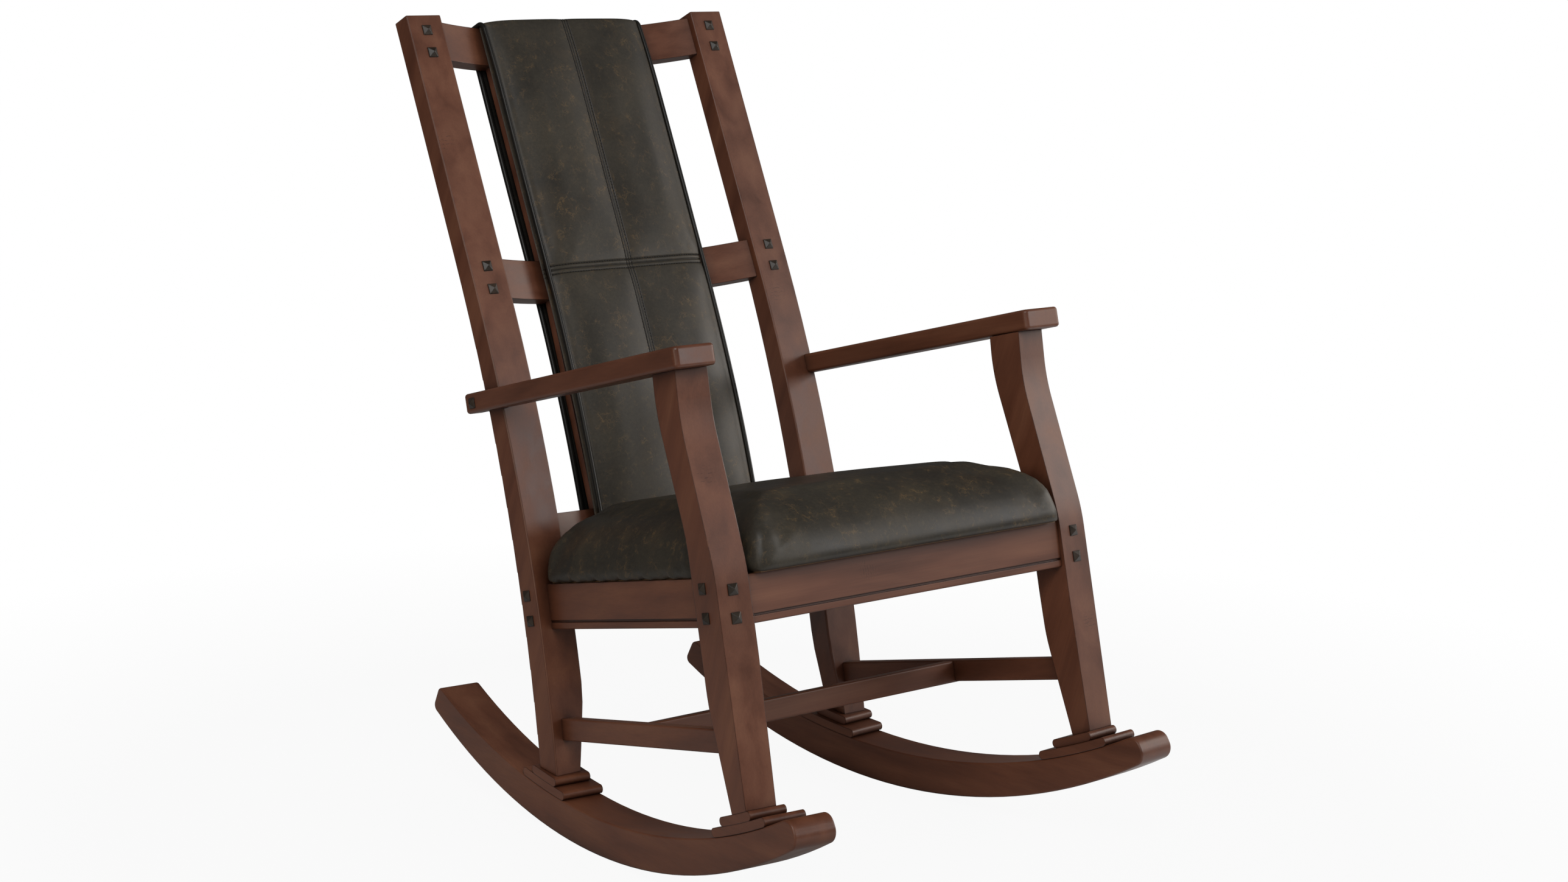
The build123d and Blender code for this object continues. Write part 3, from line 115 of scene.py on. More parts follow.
def row_to_seat(points):
    """The way back from seat_point: metres at rest to x, run and height in mm."""
    c, s = math.cos(REST_TURN), math.sin(REST_TURN)
    yy = points[:, 1] / MM + SHIFT_Y - ROCKER_MID_Y
    zz = points[:, 2] / MM - ROCKER_R
    y = ROCKER_MID_Y + yy * c - zz * s - SEAT_REF[0]
    z = ROCKER_R + yy * s + zz * c - SEAT_REF[1]
    c, s = math.cos(SEAT_SLOPE), math.sin(SEAT_SLOPE)
    return np.stack([points[:, 0] / MM, y * c - z * s, y * s + z * c], -1)


def bow_depth(x, grow=0.0):
    """Depth of the bowed rail fronts, plus grow, at x: a circle's arc across the chair."""
    return BOW_CENTRE + np.sqrt((BOW_R + grow) ** 2 - np.square(x))


def smooth(low, high, x):
    """Smooth step: 0 below low, 1 above high, and 3t^2 - 2t^3 between."""
    t = np.clip((x - low) / (high - low), 0.0, 1.0)
    return t * t * (3.0 - 2.0 * t)


def bell(x, centre, width):
    """Bell curve of height 1 at centre: e to the minus square of the distance over the width."""
    return np.exp(-np.square((x - centre) / width))


def spaced(start, *runs):
    """Positions from start through runs of (end, pitch), each divided evenly near its pitch."""
    out = [np.array([start])]
    for end, pitch in runs:
        steps = max(1, int(round((end - start) / pitch)))
        out.append(np.linspace(start, end, steps + 1)[1:])
        start = end
    return np.concatenate(out)


# ------------------------------------------------------------------ meshes
def grid_faces(rows, cols, close_cols=False):
    """Quads of a grid of rows x cols points, closed round its columns where asked."""
    r, c = np.meshgrid(np.arange(rows - 1), np.arange(cols if close_cols else cols - 1), indexing="ij")
    after = (c + 1) % cols
    return np.stack([r * cols + c, (r + 1) * cols + c, (r + 1) * cols + after, r * cols + after],
                    -1).reshape(-1, 4)


def shell_faces(rows, cols):
    """Quads of a closed shell: an outer grid, an inner grid of the same size, and the rim."""
    count = rows * cols
    outer = grid_faces(rows, cols)
    r, c = np.arange(rows - 1) * cols, np.arange(cols - 1)
    left = np.stack([r, r + cols, count + r + cols, count + r], -1)
    low = np.stack([c, count + c, count + c + 1, c + 1], -1)
    right = left[:, [0, 3, 2, 1]] + cols - 1
    high = low[:, [0, 3, 2, 1]] + count - cols
    return np.concatenate([outer, outer[:, ::-1] + count, left, right, low, high])


def tubes(paths, radius, sides, reference):
    """Round tubes along paths with the same number of points: a circle square to each run.

    A circle's axes are the run's cross product with one fixed direction, and the run's with
    that, so no tube twists. One flat face closes each end.
    """
    run = np.gradient(paths, axis=-2)
    run /= np.linalg.norm(run, axis=-1, keepdims=True)
    side = np.cross(run, reference)
    side /= np.linalg.norm(side, axis=-1, keepdims=True)
    other = np.cross(run, side)
    turn = np.linspace(0, 2 * math.pi, sides, endpoint=False)[:, None]
    ring = side[..., None, :] * np.cos(turn) + other[..., None, :] * np.sin(turn)
    points = paths[..., None, :] + ring * np.reshape(radius, (-1, 1, 1))
    count, length = paths.shape[:2]
    first = np.arange(count)[:, None, None] * length * sides
    walls = (grid_faces(length, sides, close_cols=True) + first).reshape(-1, 4)
    near = np.arange(sides) + first[:, 0]
    return points, [walls, near, near[:, ::-1] + (length - 1) * sides]


def mesh_piece(name, points, blocks, finish, own_map=None):
    """Smooth piece that rides on the chair, from points and blocks of faces with equal sides.

    own_map gives each point its place in the piece's UV map.
    """
    mesh = bpy.data.meshes.new(name)
    mesh.from_pydata(points.reshape(-1, 3), [], [face for block in blocks for face in block.tolist()])
    shade_smooth(mesh)
    if own_map is not None:
        corners = np.zeros(len(mesh.loops), np.int32)
        mesh.loops.foreach_get("vertex_index", corners)
        layer = mesh.uv_layers.new(name="UVMap")
        layer.data.foreach_set("uv", own_map.reshape(-1, 2)[corners].ravel())
    mesh.update()
    piece = bpy.data.objects.new(name, mesh)
    bpy.context.scene.collection.objects.link(piece)
    mesh.materials.append(bpy.data.materials[finish])
    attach(piece, "root")
    return piece


def shade_smooth(mesh):
    """Smooth shading on every face."""
    mesh.polygons.foreach_set("use_smooth", np.ones(len(mesh.polygons), bool))


def vertex_values(mesh, kind):
    """The vertices' places ("co") or normals ("normal") as an array."""
    values = np.zeros(len(mesh.vertices) * 3)
    mesh.vertices.foreach_get(kind, values)
    return values.reshape(-1, 3)


def apply_modifiers(piece):
    """The piece's mesh becomes what its modifiers make of it."""
    graph = bpy.context.evaluated_depsgraph_get()
    mesh = bpy.data.meshes.new_from_object(piece.evaluated_get(graph))
    piece.modifiers.clear()
    old = piece.data
    piece.data = mesh
    mesh.name = piece.name
    bpy.data.meshes.remove(old)


def inflated(piece, pressure, frames, held, stiffness):
    """Where the points of a hide end when pressure fills it as cloth, with some points held."""
    group = piece.vertex_groups.new(name="held")
    group.add(np.nonzero(held)[0].tolist(), 1.0, "REPLACE")
    cloth = piece.modifiers.new("Cloth", "CLOTH")
    cloth.settings.use_pressure = True
    cloth.settings.uniform_pressure_force = pressure
    cloth.settings.effector_weights.gravity = 0
    cloth.settings.vertex_group_mass = "held"
    cloth.settings.tension_stiffness = stiffness
    cloth.settings.compression_stiffness = stiffness
    cloth.settings.bending_stiffness = 0.3
    cloth.settings.quality = 5
    cloth.point_cache.frame_start, cloth.point_cache.frame_end = 1, frames
    for number in range(1, frames + 1):
        bpy.context.scene.frame_set(number)
    graph = bpy.context.evaluated_depsgraph_get()
    moved = vertex_values(piece.evaluated_get(graph).data, "co")
    piece.modifiers.remove(cloth)
    bpy.context.scene.frame_set(1)
    return moved


# ------------------------------------------------------------------ settings
def linear(hex_colour):
    """sRGB hex to linear RGBA."""
    srgb = np.array([int(hex_colour[i:i + 2], 16) for i in (1, 3, 5)]) / 255.0
    lin = np.where(srgb <= 0.04045, srgb / 12.92, ((srgb + 0.055) / 1.055) ** 2.4)
    return (*lin.tolist(), 1.0)


TONE = {"subtype": "COLOR", "size": 4, "min": 0.0, "max": 1.0}
LENGTH = {"unit": "LENGTH", "precision": 4}


class RockerFinish(bpy.types.PropertyGroup):
    """Colours of the chair's finishes."""
    wood_dark: bpy.props.FloatVectorProperty(
        name="Wood, dark", description="Darkest tone of the figure", default=linear("#522E1E"), **TONE)
    wood_mid: bpy.props.FloatVectorProperty(
        name="Wood, stain", description="Main tone of the stain", default=linear("#633A27"), **TONE)
    wood_light: bpy.props.FloatVectorProperty(
        name="Wood, light", description="Lightest tone of the figure", default=linear("#704630"), **TONE)
    # the arris tone is stain on the arrises, and painted shade where it darkens the corners
    wood_edge_stain_and_corner_shade: bpy.props.FloatVectorProperty(
        name="Wood, arris", description="Stain gathered on the arrises and in the corners",
        default=linear("#210E07"), **TONE)
    peg: bpy.props.FloatVectorProperty(
        name="Pegs", description="Main tone of the peg heads", default=linear("#2B231A"), **TONE)
    hide_dark: bpy.props.FloatVectorProperty(
        name="Leather, dark", description="Darker tone of the hide", default=linear("#2C2924"), **TONE)
    hide_mid: bpy.props.FloatVectorProperty(
        name="Leather, mid", description="Lighter tone of the hide", default=linear("#39342B"), **TONE)
    hide_rust: bpy.props.FloatVectorProperty(
        name="Leather, crackle", description="Tone of the cracks in the wax", default=linear("#6B5537"), **TONE)
    piping: bpy.props.FloatVectorProperty(
        name="Piping", description="Lighter tone of the piping", default=linear("#1C1B18"), **TONE)


class RockerSeat(bpy.types.PropertyGroup):
    """Sizes of the seat cushion over the apron tops."""
    crown: bpy.props.FloatProperty(
        name="Crown", description="Height of the cushion's middle", default=94 * MM, min=40 * MM, max=140 * MM,
        **LENGTH)
    side: bpy.props.FloatProperty(
        name="Side", description="Upright part of its side", default=16 * MM, min=5 * MM, max=60 * MM, **LENGTH)
    round_over: bpy.props.FloatProperty(
        name="Round", description="Length over which it rounds into the crown", default=78 * MM, min=20 * MM,
        max=150 * MM, **LENGTH)
    voxel: bpy.props.FloatProperty(
        name="Cloth cell", description="Cell of the simulated leather", default=7 * MM, min=4 * MM, max=12 * MM,
        **LENGTH)
    swell: bpy.props.FloatProperty(
        name="Swell", description="Furthest a point may move in the simulation", default=9 * MM, min=0,
        max=30 * MM, **LENGTH)


class RockerBack(bpy.types.PropertyGroup):
    """Sizes of the back cushion."""
    half: bpy.props.FloatProperty(
        name="Half width", description="From the middle to the side", default=139.3 * MM, min=80 * MM,
        max=200 * MM, **LENGTH)
    front: bpy.props.FloatProperty(
        name="Depth", description="Front of the pad behind the post fronts", default=9.8 * MM, min=5 * MM,
        max=40 * MM, **LENGTH)
    shoulder: bpy.props.FloatProperty(
        name="Shoulder", description="Width over which its sides roll back", default=52 * MM, min=10 * MM,
        max=90 * MM, **LENGTH)
    fall: bpy.props.FloatProperty(
        name="Fall", description="How far its sides roll back", default=11.5 * MM, min=2 * MM, max=30 * MM, **LENGTH)
    low: bpy.props.FloatProperty(
        name="Lower end", description="Along the posts from the crest reference", default=-781 * MM,
        min=-800 * MM, max=-600 * MM, **LENGTH)
    seam: bpy.props.FloatProperty(
        name="Cross seam", description="Along the posts from the crest reference", default=-364 * MM,
        min=-500 * MM, max=-200 * MM, **LENGTH)
    puff: bpy.props.FloatProperty(
        name="Puff", description="Swell of the panels between the seams", default=1.8 * MM, min=0, max=12 * MM,
        **LENGTH)
    piping: bpy.props.FloatProperty(
        name="Piping radius", description="Radius of the piping", default=3.4 * MM, min=1.5 * MM, max=6 * MM,
        **LENGTH)


def in_mm(group):
    """The lengths of a group of settings, in millimetres."""
    return SimpleNamespace(**{name: getattr(group, name) / MM for name in type(group).__annotations__})


# ------------------------------------------------------------------ materials
def node(tree, kind, inputs=(), output=0, stops=(), **settings):
    """Adds a shader node with its settings and links, and gives one of its outputs.

    The inputs are values or other nodes' outputs, in the node's own order or by name or number.
    The stops are the positions and colours of a colour ramp. A Mix of colours takes its mask at
    0 and its colours at 6 and 7, and gives the result at 2.
    """
    made = tree.nodes.new("ShaderNode" + kind)
    for name, value in settings.items():
        setattr(made, name, value)
    for place, value in (inputs.items() if isinstance(inputs, dict) else enumerate(inputs)):
        if isinstance(value, bpy.types.NodeSocket):
            tree.links.new(value, made.inputs[place])
        else:
            made.inputs[place].default_value = value
    if stops:
        elements = made.color_ramp.elements
        while len(elements) < len(stops):
            elements.new(0.5)
        for element, (position, colour) in zip(elements, stops):
            element.position, element.color = position, colour
    return made.outputs[output] if made.outputs else made


def new_material(name):
    """New material and its empty node tree."""
    material = bpy.data.materials.new(name)
    material.use_nodes = True
    material.node_tree.nodes.clear()
    return material, material.node_tree


def grey(value):
    """Linear grey."""
    return (value, value, value, 1.0)


def layered(tree, colour, layers):
    """The colour with each layer's tone laid over it where the layer's mask is 1."""
    for mask, tone in layers:
        colour = node(tree, "Mix", {0: mask, 6: colour, 7: tone}, 2, data_type="RGBA")
    return colour


def shaded(tree, colour, shades):
    """The colour made darker or lighter by patterns, each between its own two factors."""
    for pattern, low, high in shades:
        factor = node(tree, "ValToRGB", (pattern,), stops=((0.3, grey(low)), (0.7, grey(high))))
        colour = node(tree, "Mix", {0: 1.0, 6: colour, 7: factor}, 2, data_type="RGBA", blend_type="MULTIPLY")
    return colour


# Stained maple under satin lacquer: close-grained, with soft cloudy figure drawn out along the
# member, stain gathered dark on the arrises, painted shade darkening the corners, and a few
# groups of short tool marks across the grain. Lacquer's IOR is about 1.5.
FIGURE_LENGTH = 260 * MM
FIGURE_WIDTH = 34 * MM
GRAIN_LENGTH = 110 * MM
GRAIN_WIDTH = 2.2 * MM
ARRIS = 1.7 * MM            # within the members' rounding of 2.5 mm
CORNER_SHADE_REACH = 30 * MM
MARK_PITCH = 4.2 * MM
MARK_REACH = 16 * MM
CHIP_AND_GLINT_REACH = 9 * MM
SATIN = 0.37
# pale tone on the arrises: wear through the stain, and a painted highlight along the edges
RUBBED_THROUGH_AND_HIGHLIGHT = "#9A6A4C"
MARK_TONE = "#2C140B"
# near white, lighter than bare wood: chips, and a painted highlight where the light glints
CHIP_AND_GLINT_TONE = "#D9CFC4"


def drawn_out(tree, turned, width, length, **noise):
    """Cloudy pattern with streaks of a real width and length along the grain."""
    at = node(tree, "Mapping", {"Vector": turned, "Scale": (1 / width, 1 / width, 1 / length)})
    return node(tree, "TexNoise", {"Vector": at, "Scale": 1.0, **noise})


def near_points(tree, coords, points, reach):
    """Mask that is 1 close to any of the points and falls to 0 at reach."""
    patch = 0.0
    for point in points:
        far = node(tree, "VectorMath", (coords, point), "Value", operation="DISTANCE")
        one = node(tree, "MapRange", (far, reach, reach * 0.55))
        patch = node(tree, "Math", (patch, one), operation="MAXIMUM")
    return patch


def tool_marks(tree, coords, turned, marks):
    """Mask of short broken lines across the grain, at the mark pitch, round each mark's point."""
    jitter = node(tree, "TexNoise", {"Vector": coords, "Scale": 160.0, "Detail": 1.0})
    jitter = node(tree, "Math", (jitter, 5.0), operation="MULTIPLY")
    along = node(tree, "SeparateXYZ", (turned,), "Z")
    phase = node(tree, "Math", (along, 2 * math.pi / MARK_PITCH, jitter), operation="MULTIPLY_ADD")
    wave = node(tree, "Math", (phase,), operation="SINE")
    broken = node(tree, "TexNoise", {"Vector": turned, "Scale": 330.0, "Detail": 0.0})
    line = node(tree, "Math", (node(tree, "MapRange", (wave, 0.80, 0.97)),
                               node(tree, "MapRange", (broken, 0.42, 0.52))), operation="MULTIPLY")
    return node(tree, "Math", (line, near_points(tree, coords, marks, MARK_REACH)), operation="MULTIPLY")


def wood_material(name, run, tilt, tones, edge, marks=(), chips_and_glints=(), roughness=SATIN):
    """Stained wood in three tones, whose grain runs along an axis turned by tilt about X.

    Marks are the middles of groups of tool marks. The other points are the middles of pale spots
    on an arris: chips, painted near white so that they are painted highlights as well.
    """
    material, tree = new_material(name)
    coords = node(tree, "TexCoord", output="Object")
    # the member's length is brought onto Z
    square = math.radians(90)
    turn = {"x": (0, square, 0), "y": (square + tilt, 0, 0), "z": (tilt, 0, 0)}[run]
    turned = node(tree, "Mapping", {"Vector": coords, "Rotation": turn})
    figure = drawn_out(tree, turned, FIGURE_WIDTH, FIGURE_LENGTH, Detail=4.0, Roughness=0.5, Distortion=0.35)
    grain = drawn_out(tree, turned, GRAIN_WIDTH, GRAIN_LENGTH, Detail=4.0, Roughness=0.6)
    broad = node(tree, "TexNoise", {"Vector": coords, "Scale": 6.0, "Detail": 2.0})
    colour = node(tree, "ValToRGB", (figure,), stops=list(zip((0.28, 0.50, 0.74), tones)))
    colour = shaded(tree, colour, [(grain, 0.90, 1.06), (broad, 0.90, 1.08)])
    # painted shade: darker, in the arris tone, where members meet and in the grooves, wherever ambient occlusion
    # finds the surface hemmed in
    open_sky = node(tree, "AmbientOcclusion", {"Distance": CORNER_SHADE_REACH}, "AO", samples=6)
    corner = node(tree, "MapRange", (open_sky, 0.88, 0.40, 0.0, 0.72))
    # the arris: where the normal rounded over the edge leaves the face's own
    soft = node(tree, "Bevel", {"Radius": ARRIS}, samples=6)
    own = node(tree, "NewGeometry", output="Normal")
    agree = node(tree, "VectorMath", (soft, own), "Value", operation="DOT_PRODUCT")
    arris = node(tree, "MapRange", (agree, 0.998, 0.93))
    uneven = node(tree, "TexNoise", {"Vector": coords, "Scale": 26.0, "Detail": 4.0, "Roughness": 0.65})
    gathered = node(tree, "Math", (arris, node(tree, "MapRange", (uneven, 0.35, 0.6, 0.45, 0.9))),
                    operation="MULTIPLY")
    # pale patches on the arrises: wear, and also a painted highlight line along the edges
    rubbed = node(tree, "Math", (arris, node(tree, "MapRange", (uneven, 0.63, 0.70, 0.0, 0.4))),
                  operation="MULTIPLY")
    # the first layer is painted shade in the corners, the second is stain on the arrises
    layers = [(corner, edge), (gathered, edge), (rubbed, linear(RUBBED_THROUGH_AND_HIGHLIGHT))]
    height = grain
    if marks:
        mark = tool_marks(tree, coords, turned, marks)
        layers.append((node(tree, "Math", (mark, 0.6), operation="MULTIPLY"), linear(MARK_TONE)))
        height = node(tree, "Math", (grain, mark), operation="SUBTRACT")
    # pale spots near the points: chips on the arris, painted near white, so partly a painted highlight
    if chips_and_glints:
        chip_glint_noise = node(tree, "TexNoise", {"Vector": coords, "Scale": 420.0, "Detail": 1.0})
        chip_and_glint = node(tree, "Math", (near_points(tree, coords, chips_and_glints, CHIP_AND_GLINT_REACH),
                                   node(tree, "MapRange", (agree, 0.99, 0.95))), operation="MULTIPLY")
        chip_and_glint = node(tree, "Math", (chip_and_glint, node(tree, "MapRange", (chip_glint_noise, 0.47, 0.53))), operation="MULTIPLY")
        layers.append((chip_and_glint, linear(CHIP_AND_GLINT_TONE)))
    surface = node(tree, "BsdfPrincipled", {
        "Base Color": layered(tree, colour, layers),
        "Roughness": node(tree, "MapRange", (figure, 0.3, 0.7, roughness - 0.04, roughness + 0.08)),
        "Normal": node(tree, "Bump", {"Height": height, "Normal": soft, "Strength": 0.10, "Distance": 0.4 * MM}),
        "IOR": 1.5, "Specular IOR Level": 0.44})
    node(tree, "OutputMaterial", (surface,))
    return material


# Waxed split leather in a dark olive brown: fine close grain, cloudy where the wax has moved,
# with short hair-thin rust cracks and rubbed brown patches where the hide is pulled, and a soft
# sheen
CRACKLE_SIZE = 17 * MM
HIDE_GRAIN = 0.9 * MM
SEAM_LINE = 0.9 * MM
SEAM_TONE = "#0D0B09"


def seam_lines(tree, rows_across, rows_down):
    """Mask of the dark seam lines in the hide's own map of x and length: thread, joins and painted shade."""
    own = node(tree, "TexCoord", output="UV")
    lines = 0.0
    for axis, rows, width in (("X", rows_down, SEAM_LINE * 1.35), ("Y", rows_across, SEAM_LINE)):
        place = node(tree, "SeparateXYZ", (own,), axis)
        for row in rows:
            off = node(tree, "Math", (place, row), operation="SUBTRACT")
            off = node(tree, "Math", (off,), operation="ABSOLUTE")
            line = node(tree, "MapRange", (off, width, width * 0.45))
            lines = node(tree, "Math", (lines, line), operation="MAXIMUM")
    return lines


def leather_material(name, dark, mid, rust, roughness, crackle=1.0, seams=()):
    """Waxed leather with more or less crackle, and dark lines at the seams' rows: thread, joins and painted shade.
    """
    material, tree = new_material(name)
    coords = node(tree, "TexCoord", output="Object")
    warp = node(tree, "TexNoise", {"Vector": coords, "Scale": 55.0, "Detail": 5.0, "Roughness": 0.7}, "Color")
    shifted = node(tree, "VectorMath", (warp, (0.022, 0.022, 0.022), coords), operation="MULTIPLY_ADD")
    clouds = node(tree, "TexNoise", {"Vector": coords, "Scale": 9.0, "Detail": 6.0, "Roughness": 0.62,
                                     "Distortion": 0.3})
    patches = node(tree, "TexNoise", {"Vector": coords, "Scale": 17.0, "Detail": 6.0, "Roughness": 0.72})
    fine = node(tree, "TexNoise", {"Vector": coords, "Scale": 260.0, "Detail": 3.0, "Roughness": 0.7})
    gate = node(tree, "TexNoise", {"Vector": coords, "Scale": 75.0, "Detail": 2.0})
    # a coarse net of cracks and a finer one, broken up by the gate and strongest in the patches
    cracks = 0.0
    for times, width, weight in ((1.0, 0.034, 1.0), (2.1, 0.048, 0.8)):
        net = node(tree, "TexVoronoi", {"Vector": shifted, "Scale": times / CRACKLE_SIZE, "Randomness": 1.0},
                   "Distance", feature="DISTANCE_TO_EDGE")
        line = node(tree, "MapRange", (net, 0.0, width, weight, 0.0))
        cracks = node(tree, "Math", (cracks, line), operation="MAXIMUM")
    cracks = node(tree, "Math", (cracks, node(tree, "MapRange", (gate, 0.50, 0.60))), operation="MULTIPLY")
    rusty = node(tree, "Math", (cracks, node(tree, "MapRange", (patches, 0.44, 0.61, 0.16, 0.72 * crackle))),
                 operation="MULTIPLY")
    colour = node(tree, "ValToRGB", (clouds,), stops=((0.34, dark), (0.66, mid)))
    colour = shaded(tree, colour, [(fine, 0.86, 1.14)])
    brown = tuple(0.5 * (a + b) for a, b in zip(mid, rust))
    layers = [(node(tree, "MapRange", (patches, 0.50, 0.76, 0.0, 0.28 * crackle)), brown), (rusty, rust)]
    if seams:
        # dark seam lines: thread and joins, and painted shade in the seam grooves
        seam_thread_and_shade = node(tree, "Math", (seam_lines(tree, *seams), 0.88), operation="MULTIPLY")
        layers.append((seam_thread_and_shade, linear(SEAM_TONE)))
    hide = node(tree, "TexVoronoi", {"Vector": coords, "Scale": 1 / HIDE_GRAIN, "Randomness": 1.0},
                "Distance", feature="SMOOTH_F1")
    height = node(tree, "Math", (hide, cracks), operation="SUBTRACT")
    surface = node(tree, "BsdfPrincipled", {
        "Base Color": layered(tree, colour, layers),
        "Roughness": node(tree, "MapRange", (clouds, 0.3, 0.7, roughness - 0.05, roughness + 0.07)),
        "Normal": node(tree, "Bump", {"Height": height, "Strength": 0.12, "Distance": 0.3 * MM}),
        "IOR": 1.48, "Specular IOR Level": 0.30})
    node(tree, "OutputMaterial", (surface,))
    return material


def small_part_material(name, colour, roughness, metallic, relief):
    """Thread or screw: one tone with faint clouds, 17 mm across, in relief where asked."""
    material, tree = new_material(name)
    coords = node(tree, "TexCoord", output="Object")
    clouds = node(tree, "TexNoise", {"Vector": coords, "Scale": 60.0, "Detail": 4.0})
    tone = linear(colour)
    darker = (*[0.8 * part for part in tone[:3]], 1.0)
    inputs = {"Base Color": node(tree, "ValToRGB", (clouds,), stops=((0.3, darker), (0.7, tone))),
              "Roughness": roughness, "Metallic": metallic}
    if relief:
        inputs["Normal"] = node(tree, "Bump", {"Height": clouds, "Strength": relief, "Distance": 0.3 * MM})
    node(tree, "OutputMaterial", (node(tree, "BsdfPrincipled", inputs),))
    return material


# ------------------------------------------------------------------ finishes
# grain of the members by the start of their names: its axis, and the member's slope about X
GRAIN_RUN = {
    "front_leg": ("z", -math.radians(15) - REST_TURN),
    "back_post": ("z", -math.radians(19) - REST_TURN),
    "splat": ("z", -math.radians(21) - REST_TURN),
    "foot_dowels": ("z", 0.0),
    "arm": ("y", math.radians(13.2) + REST_TURN),
    "side_apron": ("y", math.radians(11) + REST_TURN),
    "side_stretcher": ("y", math.radians(10.3) + REST_TURN),
    "rocker": ("y", 0.0),
    "foot_block": ("y", 0.0),
    "crest_rail": ("x", 0.0),
    "mid_rail": ("x", 0.0),
    "lower_back_rail": ("x", 0.0),
    "front_apron": ("x", 0.0),
    "rear_apron": ("x", 0.0),
    "cross_stretcher": ("x", 0.0),
    "corner_block": ("x", 0.0),
    "seat_board": ("x", 0.0),
}
UNSTAINED = ("seat_board", "corner_block", "foot_dowels")
# middles of the groups of tool marks
TOOL_MARKS = {
    "front_leg": ((-0.3064, -0.2813, 0.5668), (0.3138, -0.3661, 0.3032)),
    "back_post": ((-0.2731, 0.3606, 0.9384), (0.2488, 0.2484, 0.6989)),
    "front_apron": ((-0.0759, -0.3343, 0.4235),),
}
# middles of the pale spots on the arms' front edges: chips, painted near white as painted highlights too
ARM_CHIPS_AND_GLINTS = {"arm": ((-0.3093, -0.2554, 0.7295), (0.3215, -0.2557, 0.7295))}
# soft nodes, each replaced by a piece of this script
SOFT_NODES = ("seat_cushion", "back_pad_cover", "back_pad_core", "back_pad_top_roll", "back_panel_rear",
              "back_piping")
SEAM_ROWS = (-4.4, 0.0, 4.4)      # a felled seam: the join and a stitch line to each side of it, mm
CROSS_WIDER = 1.4                 # the cross seam's stitch lines stand further apart


class ROCKER_OT_finishes(bpy.types.Operator):
    """Materials of the hides, and stained wood on every wooden member with its own grain direction"""
    bl_idname = "rocker.finishes"
    bl_label = "Finishes"

    def execute(self, context):
        tones = context.scene.rocker_finish
        seam = in_mm(context.scene.rocker_back).seam
        seams = ([(seam + row * CROSS_WIDER) * MM for row in SEAM_ROWS], [row * MM for row in SEAM_ROWS])
        leather_material("leather_seat", tones.hide_dark, tones.hide_mid, tones.hide_rust, 0.40, 1.15)
        leather_material("leather_back", tones.hide_dark, tones.hide_mid, tones.hide_rust, 0.42, seams=seams)
        # the rear panel and the piping are of a blacker hide that has had less wear
        leather_material("leather_panel", linear("#151412"), linear("#24221F"), linear("#3A2C20"), 0.42, 0.5)
        leather_material("leather_piping", linear("#12110F"), tones.piping, linear("#3A2A1C"), 0.34, 0.3)
        # waxed polyester thread is black with a dull gleam
        small_part_material("waxed_thread", "#14110F", 0.6, 0.0, 0.3)
        # zinc-plated steel screws are a warm grey
        screws = small_part_material("zinc_screw", "#A9A294", 0.35, 1.0, 0.0)
        # oiled pegs: nearly black, with the satin of the rest
        pegs = wood_material("oiled_pegs", "y", 0.0, (linear("#17110D"), tones.peg, linear("#40342B")),
                             linear("#14100C"))
        stained = (tones.wood_dark, tones.wood_mid, tones.wood_light)
        made = {}
        for name, member in frame["nodes"].items():
            kind = next((kind for kind in GRAIN_RUN if name.startswith(kind)), None)
            if name in SOFT_NODES:
                continue
            if name.endswith("pegs"):
                material = pegs
            elif name.endswith("screws"):
                material = screws
            elif kind is None:
                raise RuntimeError(f"no finish for {name}")
            elif kind in UNSTAINED:
                # bare plywood and blocks under the seat: pale and dull
                if "bare" not in made:
                    made["bare"] = wood_material(
                        "bare_plywood", *GRAIN_RUN[kind],
                        (linear("#8A6A46"), linear("#A88660"), linear("#BE9C74")), linear("#7A5A3A"), roughness=0.6)
                material = made["bare"]
            else:
                run, tilt = GRAIN_RUN[kind]
                own = kind in TOOL_MARKS or kind in ARM_CHIPS_AND_GLINTS
                tag = kind if own else f"{run}_{round(math.degrees(tilt))}"
                if tag not in made:
                    made[tag] = wood_material("stained_maple_" + tag, run, tilt, stained, tones.wood_edge_stain_and_corner_shade,
                                              TOOL_MARKS.get(kind, ()), ARM_CHIPS_AND_GLINTS.get(kind, ()))
                material = made[tag]
            for member_slot in member.material_slots:
                member_slot.material = material
        return {"FINISHED"}


# ------------------------------------------------------------------ seat cushion
SEAT_MIDDLE = np.array([0.0, 145.0])   # x and run of the crown's middle
UNDERSIDE = 0.4                        # height of the underside over the apron tops


